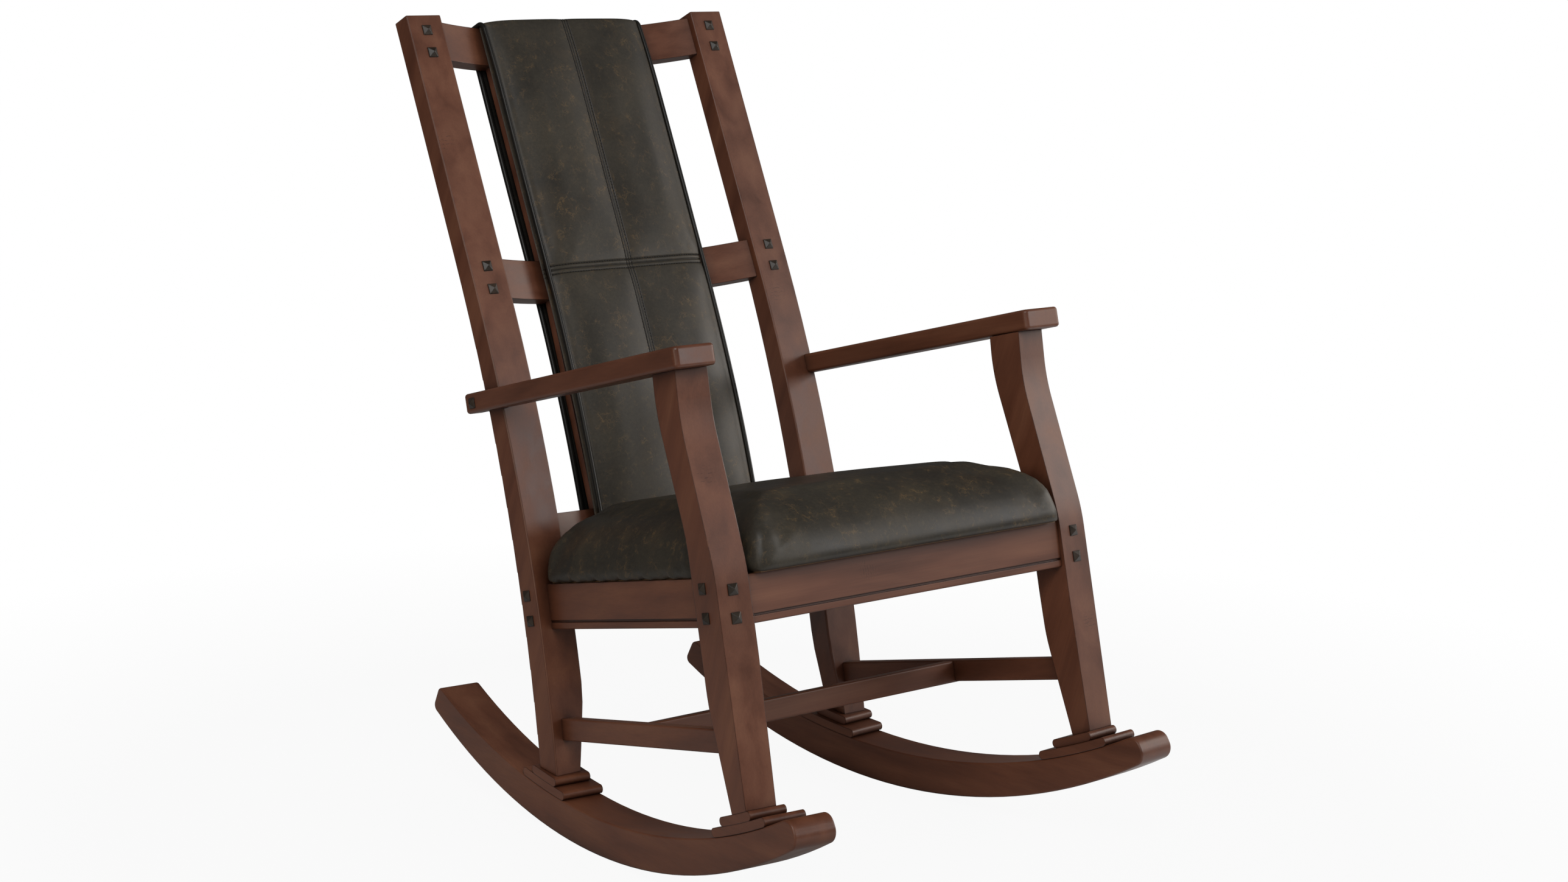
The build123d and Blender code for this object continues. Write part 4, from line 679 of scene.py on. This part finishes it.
def seat_outline(count):
    """Plan of the cushion in (x, run): a polygon notched for legs and posts, corners rounded.

    Each corner is replaced by a quadratic curve between points a little way along its two
    sides, then the line is resampled at even spacing.
    """
    narrowing = math.tan(APRON_SPLAY) * math.cos(SEAT_SLOPE)
    widest = 256.75 + (505.0 - SEAT_REF[0]) * math.tan(APRON_SPLAY) + 16.0
    front, leg_back, post_front, rear = -106.55, -20.5, 375.5, 388.0
    half = [(272.5, front), (272.5, leg_back), (widest - leg_back * narrowing, leg_back),
            (widest - post_front * narrowing, post_front), (223.5, post_front), (223.5, rear)]
    corner = np.array(half + [(-x, run) for x, run in half[::-1]])
    rounding = np.array([24, 5, 10, 16, 5, 10])
    rounding = np.concatenate([rounding, rounding[::-1]])[:, None]
    ends = []
    for step in (1, -1):
        side = np.roll(corner, step, axis=0) - corner
        length = np.linalg.norm(side, axis=1, keepdims=True)
        ends.append((side / length, length * 0.48))
    reach = np.minimum(rounding, np.minimum(ends[0][1], ends[1][1]))
    start, finish = corner + ends[0][0] * reach, corner + ends[1][0] * reach
    t = np.linspace(0, 1, 9)[:, None]
    line = (1 - t) ** 2 * start[:, None] + 2 * t * (1 - t) * corner[:, None] + t ** 2 * finish[:, None]
    line = line.reshape(-1, 2)
    line = np.concatenate([line, line[:1]])
    run = np.concatenate([[0], np.cumsum(np.linalg.norm(np.diff(line, axis=0), axis=1))])
    at = np.linspace(0, run[-1], count, endpoint=False)
    return np.stack([np.interp(at, run, line[:, 0]), np.interp(at, run, line[:, 1])], -1)


def distance_to(outline, plan):
    """Distance from points to a closed polygon line: the least over its segments.

    On each segment the nearest point is the foot of the perpendicular, kept between its ends.
    """
    segment = np.roll(outline, -1, axis=0) - outline
    offset = plan.reshape(-1, 1, 2) - outline
    t = np.clip((offset * segment).sum(-1) / np.square(segment).sum(-1), 0, 1)
    away = offset - t[..., None] * segment
    return np.linalg.norm(away, axis=-1).min(axis=1).reshape(plan.shape[:-1])


def seat_shell(s):
    """Closed cushion: rings from the middle of the top out to the edge, down the side and under.

    Height over the apron tops is the side plus an elliptic quarter round of the distance to the
    outline, with a slight crown that falls off as a parabola from the middle.
    """
    outline = seat_outline(220)
    from_middle = outline - SEAT_MIDDLE
    spread = np.concatenate([np.linspace(0.02, 0.75, 22), np.linspace(0.78, 1.0, 16)])
    plan = SEAT_MIDDLE + from_middle * spread[:, None, None]
    inward = np.clip(distance_to(outline, plan) / s.round_over, 0, 1)
    inward[-1] = 0
    off_middle = np.hypot(plan[..., 0] / 300, (plan[..., 1] - SEAT_MIDDLE[1]) / 250)
    crown = s.crown - 4 * np.clip(off_middle, 0, 1) ** 2
    height = s.side + (crown - s.side) * np.sqrt(1 - (1 - inward) ** 2)
    top = np.concatenate([plan, height[..., None]], -1)
    # down the side in three rings, then in under the cushion in three more
    spread = np.array([1, 1, 1, 0.96, 0.6, 0.25])
    level = s.side * np.array([0.66, 0.33, 0.02, 0, 0, 0]) + UNDERSIDE
    plan = SEAT_MIDDLE + from_middle * spread[:, None, None]
    below = np.concatenate([plan, np.broadcast_to(level[:, None, None], plan.shape[:2] + (1,))], -1)
    rings = np.concatenate([top, below])
    rows, cols = rings.shape[:2]
    points = np.concatenate([rings.reshape(-1, 3), [[*SEAT_MIDDLE, s.crown], [*SEAT_MIDDLE, UNDERSIDE]]])
    k = np.arange(cols)
    after = (k + 1) % cols
    last = (rows - 1) * cols
    top_fan = np.stack([np.full(cols, rows * cols), k, after], -1)
    under_fan = np.stack([np.full(cols, rows * cols + 1), last + after, last + k], -1)
    return points, [grid_faces(rows, cols, close_cols=True), top_fan, under_fan]


def filled_seat(piece, swell):
    """The cushion's points after cloth simulation, each moved by no more than the swell.

    The filling pushes out further than the hide can draw in, so a quarter is kept of the part
    of each move that goes inwards along the normal.
    """
    before = vertex_values(piece.data, "co")
    outward = vertex_values(piece.data, "normal")
    on_board = row_to_seat(before)[:, 2] < 9.0
    move = inflated(piece, 4.0, 20, on_board, stiffness=15.0) - before
    out = (move * outward).sum(1, keepdims=True)
    move -= outward * np.minimum(out, 0.0) * 0.75
    far = np.linalg.norm(move, axis=1, keepdims=True)
    return before + move * np.minimum(1.0, swell * MM / np.maximum(far, 1e-9))


def gathered_height(x, run, height):
    """Height of the hide with its gathers and creases.

    Round each front corner the gathers are a cosine of the angle, under an exponential that
    fades with the distance. Across the crown the creases are products of long sines.
    """
    for sign in (-1, 1):
        dx, dy = (sign * 262.0 - x) * sign, run + 92.0
        r = np.hypot(dx, dy)
        fold = np.cos(np.arctan2(dy, dx) * 7.0 + 0.8 * sign) * np.exp(-r / 48.0) * smooth(4, 30, r)
        height = height - 2.6 * fold * smooth(6, 40, height)
    crease = (0.7 * np.sin(x / 46 + run / 90) * np.sin(run / 61 - x / 130)
              + 0.45 * np.sin(x / 21 - run / 34 + 1.0) * bell(run, -60, 60))
    return height + smooth(30, 70, height) * crease


class ROCKER_OT_seat(bpy.types.Operator):
    """Leather seat cushion, crowned, with gathers at its front corners"""
    bl_idname = "rocker.seat"
    bl_label = "Seat cushion"

    def execute(self, context):
        s = in_mm(context.scene.rocker_seat)
        points, blocks = seat_shell(s)
        piece = mesh_piece("seat_leather_cushion", seat_point(*points.T), blocks, "leather_seat")
        even = piece.modifiers.new("Even", "REMESH")
        even.mode = "VOXEL"
        even.voxel_size = s.voxel * MM
        even.use_smooth_shade = True
        apply_modifiers(piece)
        places = filled_seat(piece, s.swell)
        x, run, height = row_to_seat(places).T
        places = seat_point(x, run, gathered_height(x, run, height))
        piece.data.vertices.foreach_set("co", places.ravel())
        finer = piece.modifiers.new("Finer", "SUBSURF")
        finer.levels = finer.render_levels = 1
        apply_modifiers(piece)
        shade_smooth(piece.data)
        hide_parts("seat_cushion")
        return {"FINISHED"}


# ------------------------------------------------------------------ back cushion
CREST_TURN_R = 14.0        # radius of the hide's turn from the front onto the crest
HIDE_THICK = 4.6
HEM_R = 3.0


def crest_fall(along):
    """How far the pad leans back towards the crest: a parabola over its last stretch."""
    return 5.0 * (1 - np.clip((CREST_TOP - along) / 110.0, 0, 1)) ** 2


def pad_surface(b, x, along):
    """Front of the pad as depth behind the posts, over x and along.

    Its middle is flat. Towards each side it rolls back as a quarter of an ellipse, and over the
    last stretch below the crest it falls back as a parabola. It swells between the seams as a
    product of two sine arches, and dips at the seams and at each stitch line as bell curves.
    """
    edge = np.clip((b.half - np.abs(x)) / b.shoulder, 0, 1)
    depth = b.front + b.fall * (1 - np.sqrt(1 - (1 - edge) ** 2)) + crest_fall(along)
    side = np.sin(np.pi * np.clip(np.abs(x) / b.half, 0, 1)) ** 0.6
    panel = np.where(along > b.seam, (along - b.seam) / (CREST_TOP - b.seam), (b.seam - along) / (b.seam - b.low))
    depth = depth - b.puff * side * np.sin(np.pi * np.clip(panel, 0, 1)) ** 0.35
    depth = depth + 1.5 * bell(x, 0, 12) + 2.2 * bell(along, b.seam, 14)
    for row in SEAM_ROWS:
        depth = depth + 0.9 * bell(x, row, 1.0) + 1.0 * bell(along, b.seam + row * CROSS_WIDER, 1.2)
    return depth


def trial_swell(context, b):
    """How far simulated leather moves off the plain pad: (x, along, depth), on a coarse grid.

    The hide's seams and rim are held, and pressure pushes it forward from behind.
    """
    across, up = spaced(-b.half, (b.half, 9.3)), spaced(b.low, (CREST_TOP, 9.5))
    x, along = np.meshgrid(across, up)
    depth = pad_surface(b, x, along)
    start = back_point(x, depth, along)
    mesh = bpy.data.meshes.new("trial_hide")
    mesh.from_pydata(start.reshape(-1, 3), [], grid_faces(len(up), len(across))[:, ::-1].tolist())
    trial = bpy.data.objects.new("trial_hide", mesh)
    context.scene.collection.objects.link(trial)
    held = (np.abs(x) > b.half - 5) | (along < b.low + 5) | (along > CREST_TOP - 5)
    held |= (np.abs(along - b.seam) < 6) | (np.abs(x) < 5)
    before = vertex_values(mesh, "co")
    move = (inflated(trial, 3.0, 16, held.ravel(), stiffness=8.0) - before).reshape(start.shape)
    ahead = back_point(x, depth - 1.0, along) - start
    forward = (move * ahead).sum(-1) / np.linalg.norm(ahead, axis=-1)
    bpy.data.objects.remove(trial)
    bpy.data.meshes.remove(mesh)
    return across, up, -np.clip(forward / MM, -2.0, 3.0)


def swell_at(trial, x, along):
    """Simulated depth at any point of the pad, bilinear between the trial's points."""
    across, up, table = trial
    column = np.clip(np.interp(x, across, np.arange(len(across))), 0, len(across) - 1.001)
    row = np.clip(np.interp(along, up, np.arange(len(up))), 0, len(up) - 1.001)
    c, r = column.astype(int), row.astype(int)
    tc, tr = column - c, row - r
    return (table[r, c] * (1 - tc) * (1 - tr) + table[r, c + 1] * tc * (1 - tr)
            + table[r + 1, c] * (1 - tc) * tr + table[r + 1, c + 1] * tc * tr)


def strip(across, depth, along):
    """Grid of (x, depth, along) from a row of x and whatever the others spread to."""
    return np.stack(np.broadcast_arrays(across, depth, along), -1)


def pad_hide(b, trial):
    """Outer and inner faces of the back's hide as grids of (x, depth, along), and its own map.

    The outer face runs up the front, turns onto the crest in a quarter ellipse, goes back over
    the crest rail in a low sine arch, and turns down behind it in another quarter. The inner
    face lies on the rails in front and on the crest rail above. The map is x, and the length
    along the middle of the hide, in metres.
    """
    across = spaced(-b.half, (-b.half + 5, 0.8), (-b.half + 54, 2.9), (-8, 5.0), (8, 0.55),
                    (b.half - 54, 5.0), (b.half - 5, 2.9), (b.half, 0.8))
    up = spaced(b.low, (b.seam - 12, 5.5), (b.seam + 12, 0.65), (CREST_TOP - 14, 5.5), (CREST_TOP, 2.0))[:, None]
    quarter = np.linspace(0, math.pi / 2, 9)[1:, None]
    over = np.linspace(0, 1, 10)[1:, None]
    down = np.linspace(0, math.pi / 2, 6)[1:, None]
    rise = HIDE_THICK + 3.2 * np.sin(np.pi * ((across + b.half) / (2 * b.half))) ** 0.4
    hem = bow_depth(across, RAIL_THICK + HIDE_THICK) - HEM_R
    x, along = np.meshgrid(across, up)
    front = pad_surface(b, x, along) + swell_at(trial, x, along)
    turn = front[-1] + CREST_TURN_R * (1 - np.cos(quarter))
    outer = np.concatenate([
        strip(across, front, up),
        strip(across, turn, CREST_TOP + rise * np.sin(quarter)),
        strip(across, turn[-1] * (1 - over) + hem * over, CREST_TOP + rise + 0.8 * np.sin(np.pi * over)),
        strip(across, hem + HEM_R * np.sin(down), CREST_TOP + rise * np.cos(down) - 1.0)])
    rail_front, rail_back, lid = bow_depth(across, -0.4), bow_depth(across, RAIL_THICK + 0.4), CREST_TOP + 0.4
    inner = np.concatenate([
        strip(across, rail_front, up),
        strip(across, rail_front, np.full_like(quarter, lid)),
        strip(across, rail_front * (1 - over) + rail_back * over, lid),
        strip(across, rail_back, np.full_like(down, lid - 0.2))])
    rows, cols = outer.shape[:2]
    middle = outer[:, cols // 2, 1:]
    run = np.concatenate([[0], np.cumsum(np.hypot(*np.diff(middle, axis=0).T))])
    length = np.where(np.arange(rows) < len(up), middle[:, 1], CREST_TOP + run - run[len(up) - 1])
    own_map = np.stack(np.broadcast_arrays(outer[..., 0], length[:, None]), -1) * MM
    return np.stack([outer, inner]), np.stack([own_map, own_map])


class ROCKER_OT_back(bpy.types.Operator):
    """Back cushion: one hide over the front and the crest, seamed across and down the middle"""
    bl_idname = "rocker.back"
    bl_label = "Back cushion"

    def execute(self, context):
        b = in_mm(context.scene.rocker_back)
        hide, own_map = pad_hide(b, trial_swell(context, b))
        faces = shell_faces(*hide.shape[1:3])[:, ::-1]
        piece = mesh_piece("back_leather_cushion", back_point(hide[..., 0], hide[..., 1], hide[..., 2]), [faces],
                           "leather_back", own_map)
        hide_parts("back_pad_cover", "back_pad_core", "back_pad_top_roll")
        return {"FINISHED"}


class ROCKER_OT_rear_panel(bpy.types.Operator):
    """Leather panel behind the bowed rails, from the crest to the lower rail"""
    bl_idname = "rocker.rear_panel"
    bl_label = "Rear panel"

    def execute(self, context):
        b = in_mm(context.scene.rocker_back)
        across = spaced(-b.half, (-b.half + 12, 2.0), (b.half - 12, 6.0), (b.half, 2.0))
        up = spaced(b.low, (b.low + 10, 2.5), (CREST_TOP - 6, 6.0), (CREST_TOP - 0.4, 2.0))
        x, along = np.meshgrid(across, up)
        # it swells in from its rim as a smooth step, with long sine waves down its middle
        rim = np.minimum(b.half - np.abs(x), np.minimum(along - b.low, CREST_TOP - along + 4))
        puff = 1.4 * smooth(0, 14, rim) + 0.5 * np.sin(along / 70) * smooth(10, 60, rim) * np.cos(x / 60)
        rail_back = bow_depth(x, RAIL_THICK + 0.4)
        depth = np.stack([rail_back + 3.6 + puff, rail_back])
        piece = mesh_piece("rear_leather_panel", back_point(x, depth, along), [shell_faces(*x.shape)],
                           "leather_panel")
        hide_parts("back_panel_rear")
        return {"FINISHED"}


# ------------------------------------------------------------------ piping and stitches
PIPING_TURN_R = 11.0
STITCH_PITCH = 4.6         # five and a half stitches to the inch
STITCH_R = 0.55            # over the real thread's 0.45, so that it shows


def piping_path(b, sign, count=240):
    """Hairpin in the side plane: up the pad's front edge, over the crest rail, down behind it.

    It is two runs joined over the crest by quarter circles, with a slight sine wave sideways.
    """
    x = sign * (b.half + b.piping - 1.1)
    rear = bow_depth(x, RAIL_THICK) + b.piping + 1.8
    top, r = CREST_TOP + 4.0, PIPING_TURN_R
    quarter = np.linspace(0, math.pi / 2, 14)
    up = np.linspace(b.low + 6, top - r, count)
    front = b.front + b.fall - 2.2 + crest_fall(up)
    over = np.linspace(front[-1] + r, rear - r, 8)[1:-1]
    depth = np.concatenate([front, front[-1] + r * (1 - np.cos(quarter[1:])), over,
                            rear - r + r * np.sin(quarter), np.full(count - 1, rear)])
    along = np.concatenate([up, top - r + r * np.sin(quarter[1:]), np.full(len(over), top),
                            top - r + r * np.cos(quarter), up[-2::-1]])
    wave = 0.3 * sign * np.sin(np.arange(len(depth)) / 23.0)
    return back_point(x + wave, depth, along)


class ROCKER_OT_piping(bpy.types.Operator):
    """Leather piping round both sides of the back"""
    bl_idname = "rocker.piping"
    bl_label = "Piping"

    def execute(self, context):
        b = in_mm(context.scene.rocker_back)
        paths = np.stack([piping_path(b, sign) for sign in (-1, 1)])
        points, blocks = tubes(paths, b.piping * MM, 14, (1.0, 0.0, 0.0))
        piece = mesh_piece("back_leather_piping", points, blocks, "leather_piping")
        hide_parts("back_piping")
        return {"FINISHED"}


def stitch_row(b, start, end):
    """Paths of the stitches in a row from start to end, in (x, along).

    Each stitch is five points long, and bows out of the hide as a cosine arch.
    """
    start, end = np.array(start), np.array(end)
    length = np.linalg.norm(end - start)
    t = np.linspace(-0.36, 0.36, 5)
    at = (np.arange(int(length / STITCH_PITCH))[:, None] + 0.5 + t) * STITCH_PITCH / length
    x, along = (start + (end - start) * at[..., None]).transpose(2, 0, 1)
    depth = pad_surface(b, x, along) - 0.1 - 0.5 * np.cos(t / 0.36 * math.pi / 2)
    return back_point(x, depth, along)


class ROCKER_OT_stitches(bpy.types.Operator):
    """Two rows of stitches beside each seam of the back cushion"""
    bl_idname = "rocker.stitches"
    bl_label = "Stitches"

    def execute(self, context):
        b = in_mm(context.scene.rocker_back)
        rows = []
        for row in SEAM_ROWS[::2]:
            cross = b.seam + row * CROSS_WIDER
            rows += [stitch_row(b, (row, b.low + 30), (row, b.seam - 9)),
                     stitch_row(b, (row, b.seam + 9), (row, CREST_TOP - 4)),
                     stitch_row(b, (-b.half + 2, cross), (b.half - 2, cross))]
        drawn_in = STITCH_R * MM * np.array([0.3, 0.9, 1.0, 0.9, 0.3])
        points, blocks = tubes(np.concatenate(rows), drawn_in, 6, (0.3, 0.8, 0.5))
        mesh_piece("back_seam_stitches", points, blocks, "waxed_thread")
        return {"FINISHED"}


# ------------------------------------------------------------------ studio
# a long lens from the chair's right front, at the height of the crest: its focal length in
# pixels of the rendered frame, and its place and turn in the standing chair's frame
LENS_PX, IMAGE_W, SENSOR_W = 4818.24, 2576.0, 36.0
CAMERA_AT = (-2580.5, -2757.72, 1196.68)
CAMERA_YAW, CAMERA_PITCH = math.radians(40.0), math.radians(9.236)
# softboxes: name, place, height that they face, width and height, watts, colour
LAMPS = (
    ("key_softbox", (2.5, -3.0, 1.85), 0.6, (1.2, 0.7), 22, "#FFFFFF"),
    ("front_softbox", (-1.6, -2.2, 3.0), 0.6, (2.2, 1.6), 50, "#FFFFFF"),
    ("right_softbox", (3.9, -1.2, 1.6), 0.7, (1.4, 1.4), 40, "#FFF6EC"),
    ("left_softbox", (-3.3, -1.5, 1.6), 0.6, (0.7, 1.8), 17, "#FFF0DC"),
)
WORLD_LIGHT = 0.46
LIT_SIDE = (0.924, -0.352, 0.151)      # towards the white walls
FLOOR_HALF = 80.0


def camera_pose():
    """Camera's place and axes, turned with the chair to its rest pose."""
    cy, sy = math.cos(CAMERA_YAW), math.sin(CAMERA_YAW)
    cp, sp = math.cos(CAMERA_PITCH), math.sin(CAMERA_PITCH)
    right, ahead = np.array([cy, -sy, 0.0]), np.array([sy * cp, cy * cp, -sp])
    c, s = math.cos(REST_TURN), math.sin(REST_TURN)
    turn = np.array([[1, 0, 0], [0, c, s], [0, -s, c]])
    axes = turn @ np.stack([right, np.cross(right, ahead), -ahead], -1)
    pose = np.eye(4)
    pose[:3, :3], pose[:3, 3] = axes, to_row(*CAMERA_AT)
    return Matrix(pose.tolist())


def studio_paper():
    """White paper round the chair on a dark studio floor.

    To the camera it is mostly its own white, so only the chair's soft shadow shows on it. To
    reflections it glows white over a pool in front of the chair, a painted reflection on the
    fronts of the members.
    """
    material, tree = new_material("studio_paper")
    coords = node(tree, "TexCoord", output="Object")
    away = node(tree, "VectorMath", (coords,), "Value", operation="LENGTH")
    tone = node(tree, "ValToRGB", (node(tree, "MapRange", (away, 1.4, 3.2)),),
                stops=((0.0, grey(0.40)), (1.0, grey(0.10))))
    paper = node(tree, "BsdfPrincipled", {"Base Color": tone, "Roughness": 0.9})
    white = node(tree, "Emission", {"Color": grey(1.0), "Strength": 1.0})
    to_camera = node(tree, "Math", (node(tree, "LightPath", output="Is Camera Ray"),
                                    node(tree, "MapRange", (away, 0.9, 1.8, 0.93, 1.0))), operation="MULTIPLY")
    # painted reflection: in front of the chair the paper glows white for reflected rays only
    ahead = node(tree, "VectorMath", (coords, (0.64, -0.77, 0.0)), "Value", operation="DOT_PRODUCT")
    glow_for_reflections = node(tree, "Math", (node(tree, "MapRange", (ahead, 0.25, 0.85, 0.0, 0.95)),
                               node(tree, "MapRange", (away, 3.0, 2.0))), operation="MULTIPLY")
    share = node(tree, "Mix", {0: node(tree, "LightPath", output="Is Glossy Ray"), 2: to_camera, 3: glow_for_reflections},
                 data_type="FLOAT")
    both = node(tree, "MixShader", (share, paper, white))
    node(tree, "OutputMaterial", (both,))
    return material


def studio_world():
    """World that is white to the camera and lights the chair evenly.

    Reflections see its white walls to the chair's left, a little to the front and above, and the
    dark of the studio everywhere else.
    """
    world = bpy.data.worlds.new("studio_white")
    world.use_nodes = True
    tree = world.node_tree
    tree.nodes.clear()
    ahead = node(tree, "TexCoord", output="Generated")
    lit = node(tree, "VectorMath", (ahead, LIT_SIDE), "Value", operation="DOT_PRODUCT")
    walls = node(tree, "MapRange", (lit, 0.78, 0.99, 0.06, 0.85))
    strength = node(tree, "Mix", {0: node(tree, "LightPath", output="Is Glossy Ray"), 2: WORLD_LIGHT, 3: walls},
                    data_type="FLOAT")
    strength = node(tree, "Mix", {0: node(tree, "LightPath", output="Is Camera Ray"), 2: strength, 3: 1.0},
                    data_type="FLOAT")
    background = node(tree, "Background", {"Color": grey(1.0), "Strength": strength})
    node(tree, "OutputWorld", (background,))
    return world


class ROCKER_OT_stage(bpy.types.Operator):
    """Camera, soft studio lamps, white surroundings and a pale floor"""
    bl_idname = "rocker.stage"
    bl_label = "Studio"

    def execute(self, context):
        scene = context.scene
        lens = bpy.data.cameras.new("studio_camera")
        lens.sensor_width, lens.sensor_fit = SENSOR_W, "HORIZONTAL"
        lens.lens = LENS_PX / IMAGE_W * SENSOR_W
        lens.clip_end = 300.0
        camera = bpy.data.objects.new("studio_camera", lens)
        camera.matrix_world = camera_pose()
        scene.collection.objects.link(camera)
        scene.camera = camera
        mesh = bpy.data.meshes.new("studio_floor")
        corners = [(x * FLOOR_HALF, y * FLOOR_HALF, 0.0) for x, y in ((-1, -1), (1, -1), (1, 1), (-1, 1))]
        mesh.from_pydata(corners, [], [(0, 1, 2, 3)])
        mesh.materials.append(studio_paper())
        floor = bpy.data.objects.new("studio_floor", mesh)
        scene.collection.objects.link(floor)
        scene.world = studio_world()
        for name, place, aim, size, watts, colour in LAMPS:
            light = bpy.data.lights.new(name, "AREA")
            light.shape = "RECTANGLE"
            light.size, light.size_y = size
            light.energy, light.color = watts, linear(colour)[:3]
            lamp = bpy.data.objects.new(name, light)
            lamp.location = place
            lamp.rotation_euler = (Vector((0, 0, aim)) - Vector(place)).to_track_quat("-Z", "Y").to_euler()
            scene.collection.objects.link(lamp)
        scene.view_settings.view_transform = "Standard"
        return {"FINISHED"}


# ------------------------------------------------------------------ panel and run
class ROCKER_PT_panel(bpy.types.Panel):
    """Sizes, colours and steps of the chair's looks"""
    bl_label = "Rocking chair"
    bl_idname = "ROCKER_PT_panel"
    bl_space_type = "VIEW_3D"
    bl_region_type = "UI"
    bl_category = "Rocker"

    def draw(self, context):
        for name in SETTINGS:
            box = self.layout.box()
            group = getattr(context.scene, name)
            for key in type(group).__annotations__:
                box.prop(group, key)
        for step in STEPS:
            self.layout.operator(step.bl_idname)


SETTINGS = {"rocker_finish": RockerFinish, "rocker_seat": RockerSeat, "rocker_back": RockerBack}
STEPS = (ROCKER_OT_stage, ROCKER_OT_finishes, ROCKER_OT_seat, ROCKER_OT_back, ROCKER_OT_rear_panel,
         ROCKER_OT_piping, ROCKER_OT_stitches)
CLASSES = (*SETTINGS.values(), *STEPS, ROCKER_PT_panel)


def register():
    """Registers the classes and hangs the settings on the scene."""
    for cls in CLASSES:
        bpy.utils.register_class(cls)
    for name, group in SETTINGS.items():
        setattr(bpy.types.Scene, name, bpy.props.PointerProperty(type=group))


def unregister():
    """Takes the settings and the classes away again."""
    for name in SETTINGS:
        delattr(bpy.types.Scene, name)
    for cls in reversed(CLASSES):
        bpy.utils.unregister_class(cls)


def main():
    """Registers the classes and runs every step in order."""
    register()
    for step in STEPS:
        getattr(bpy.ops.rocker, step.bl_idname.split(".")[1])()


if __name__ == "__main__":
    main()
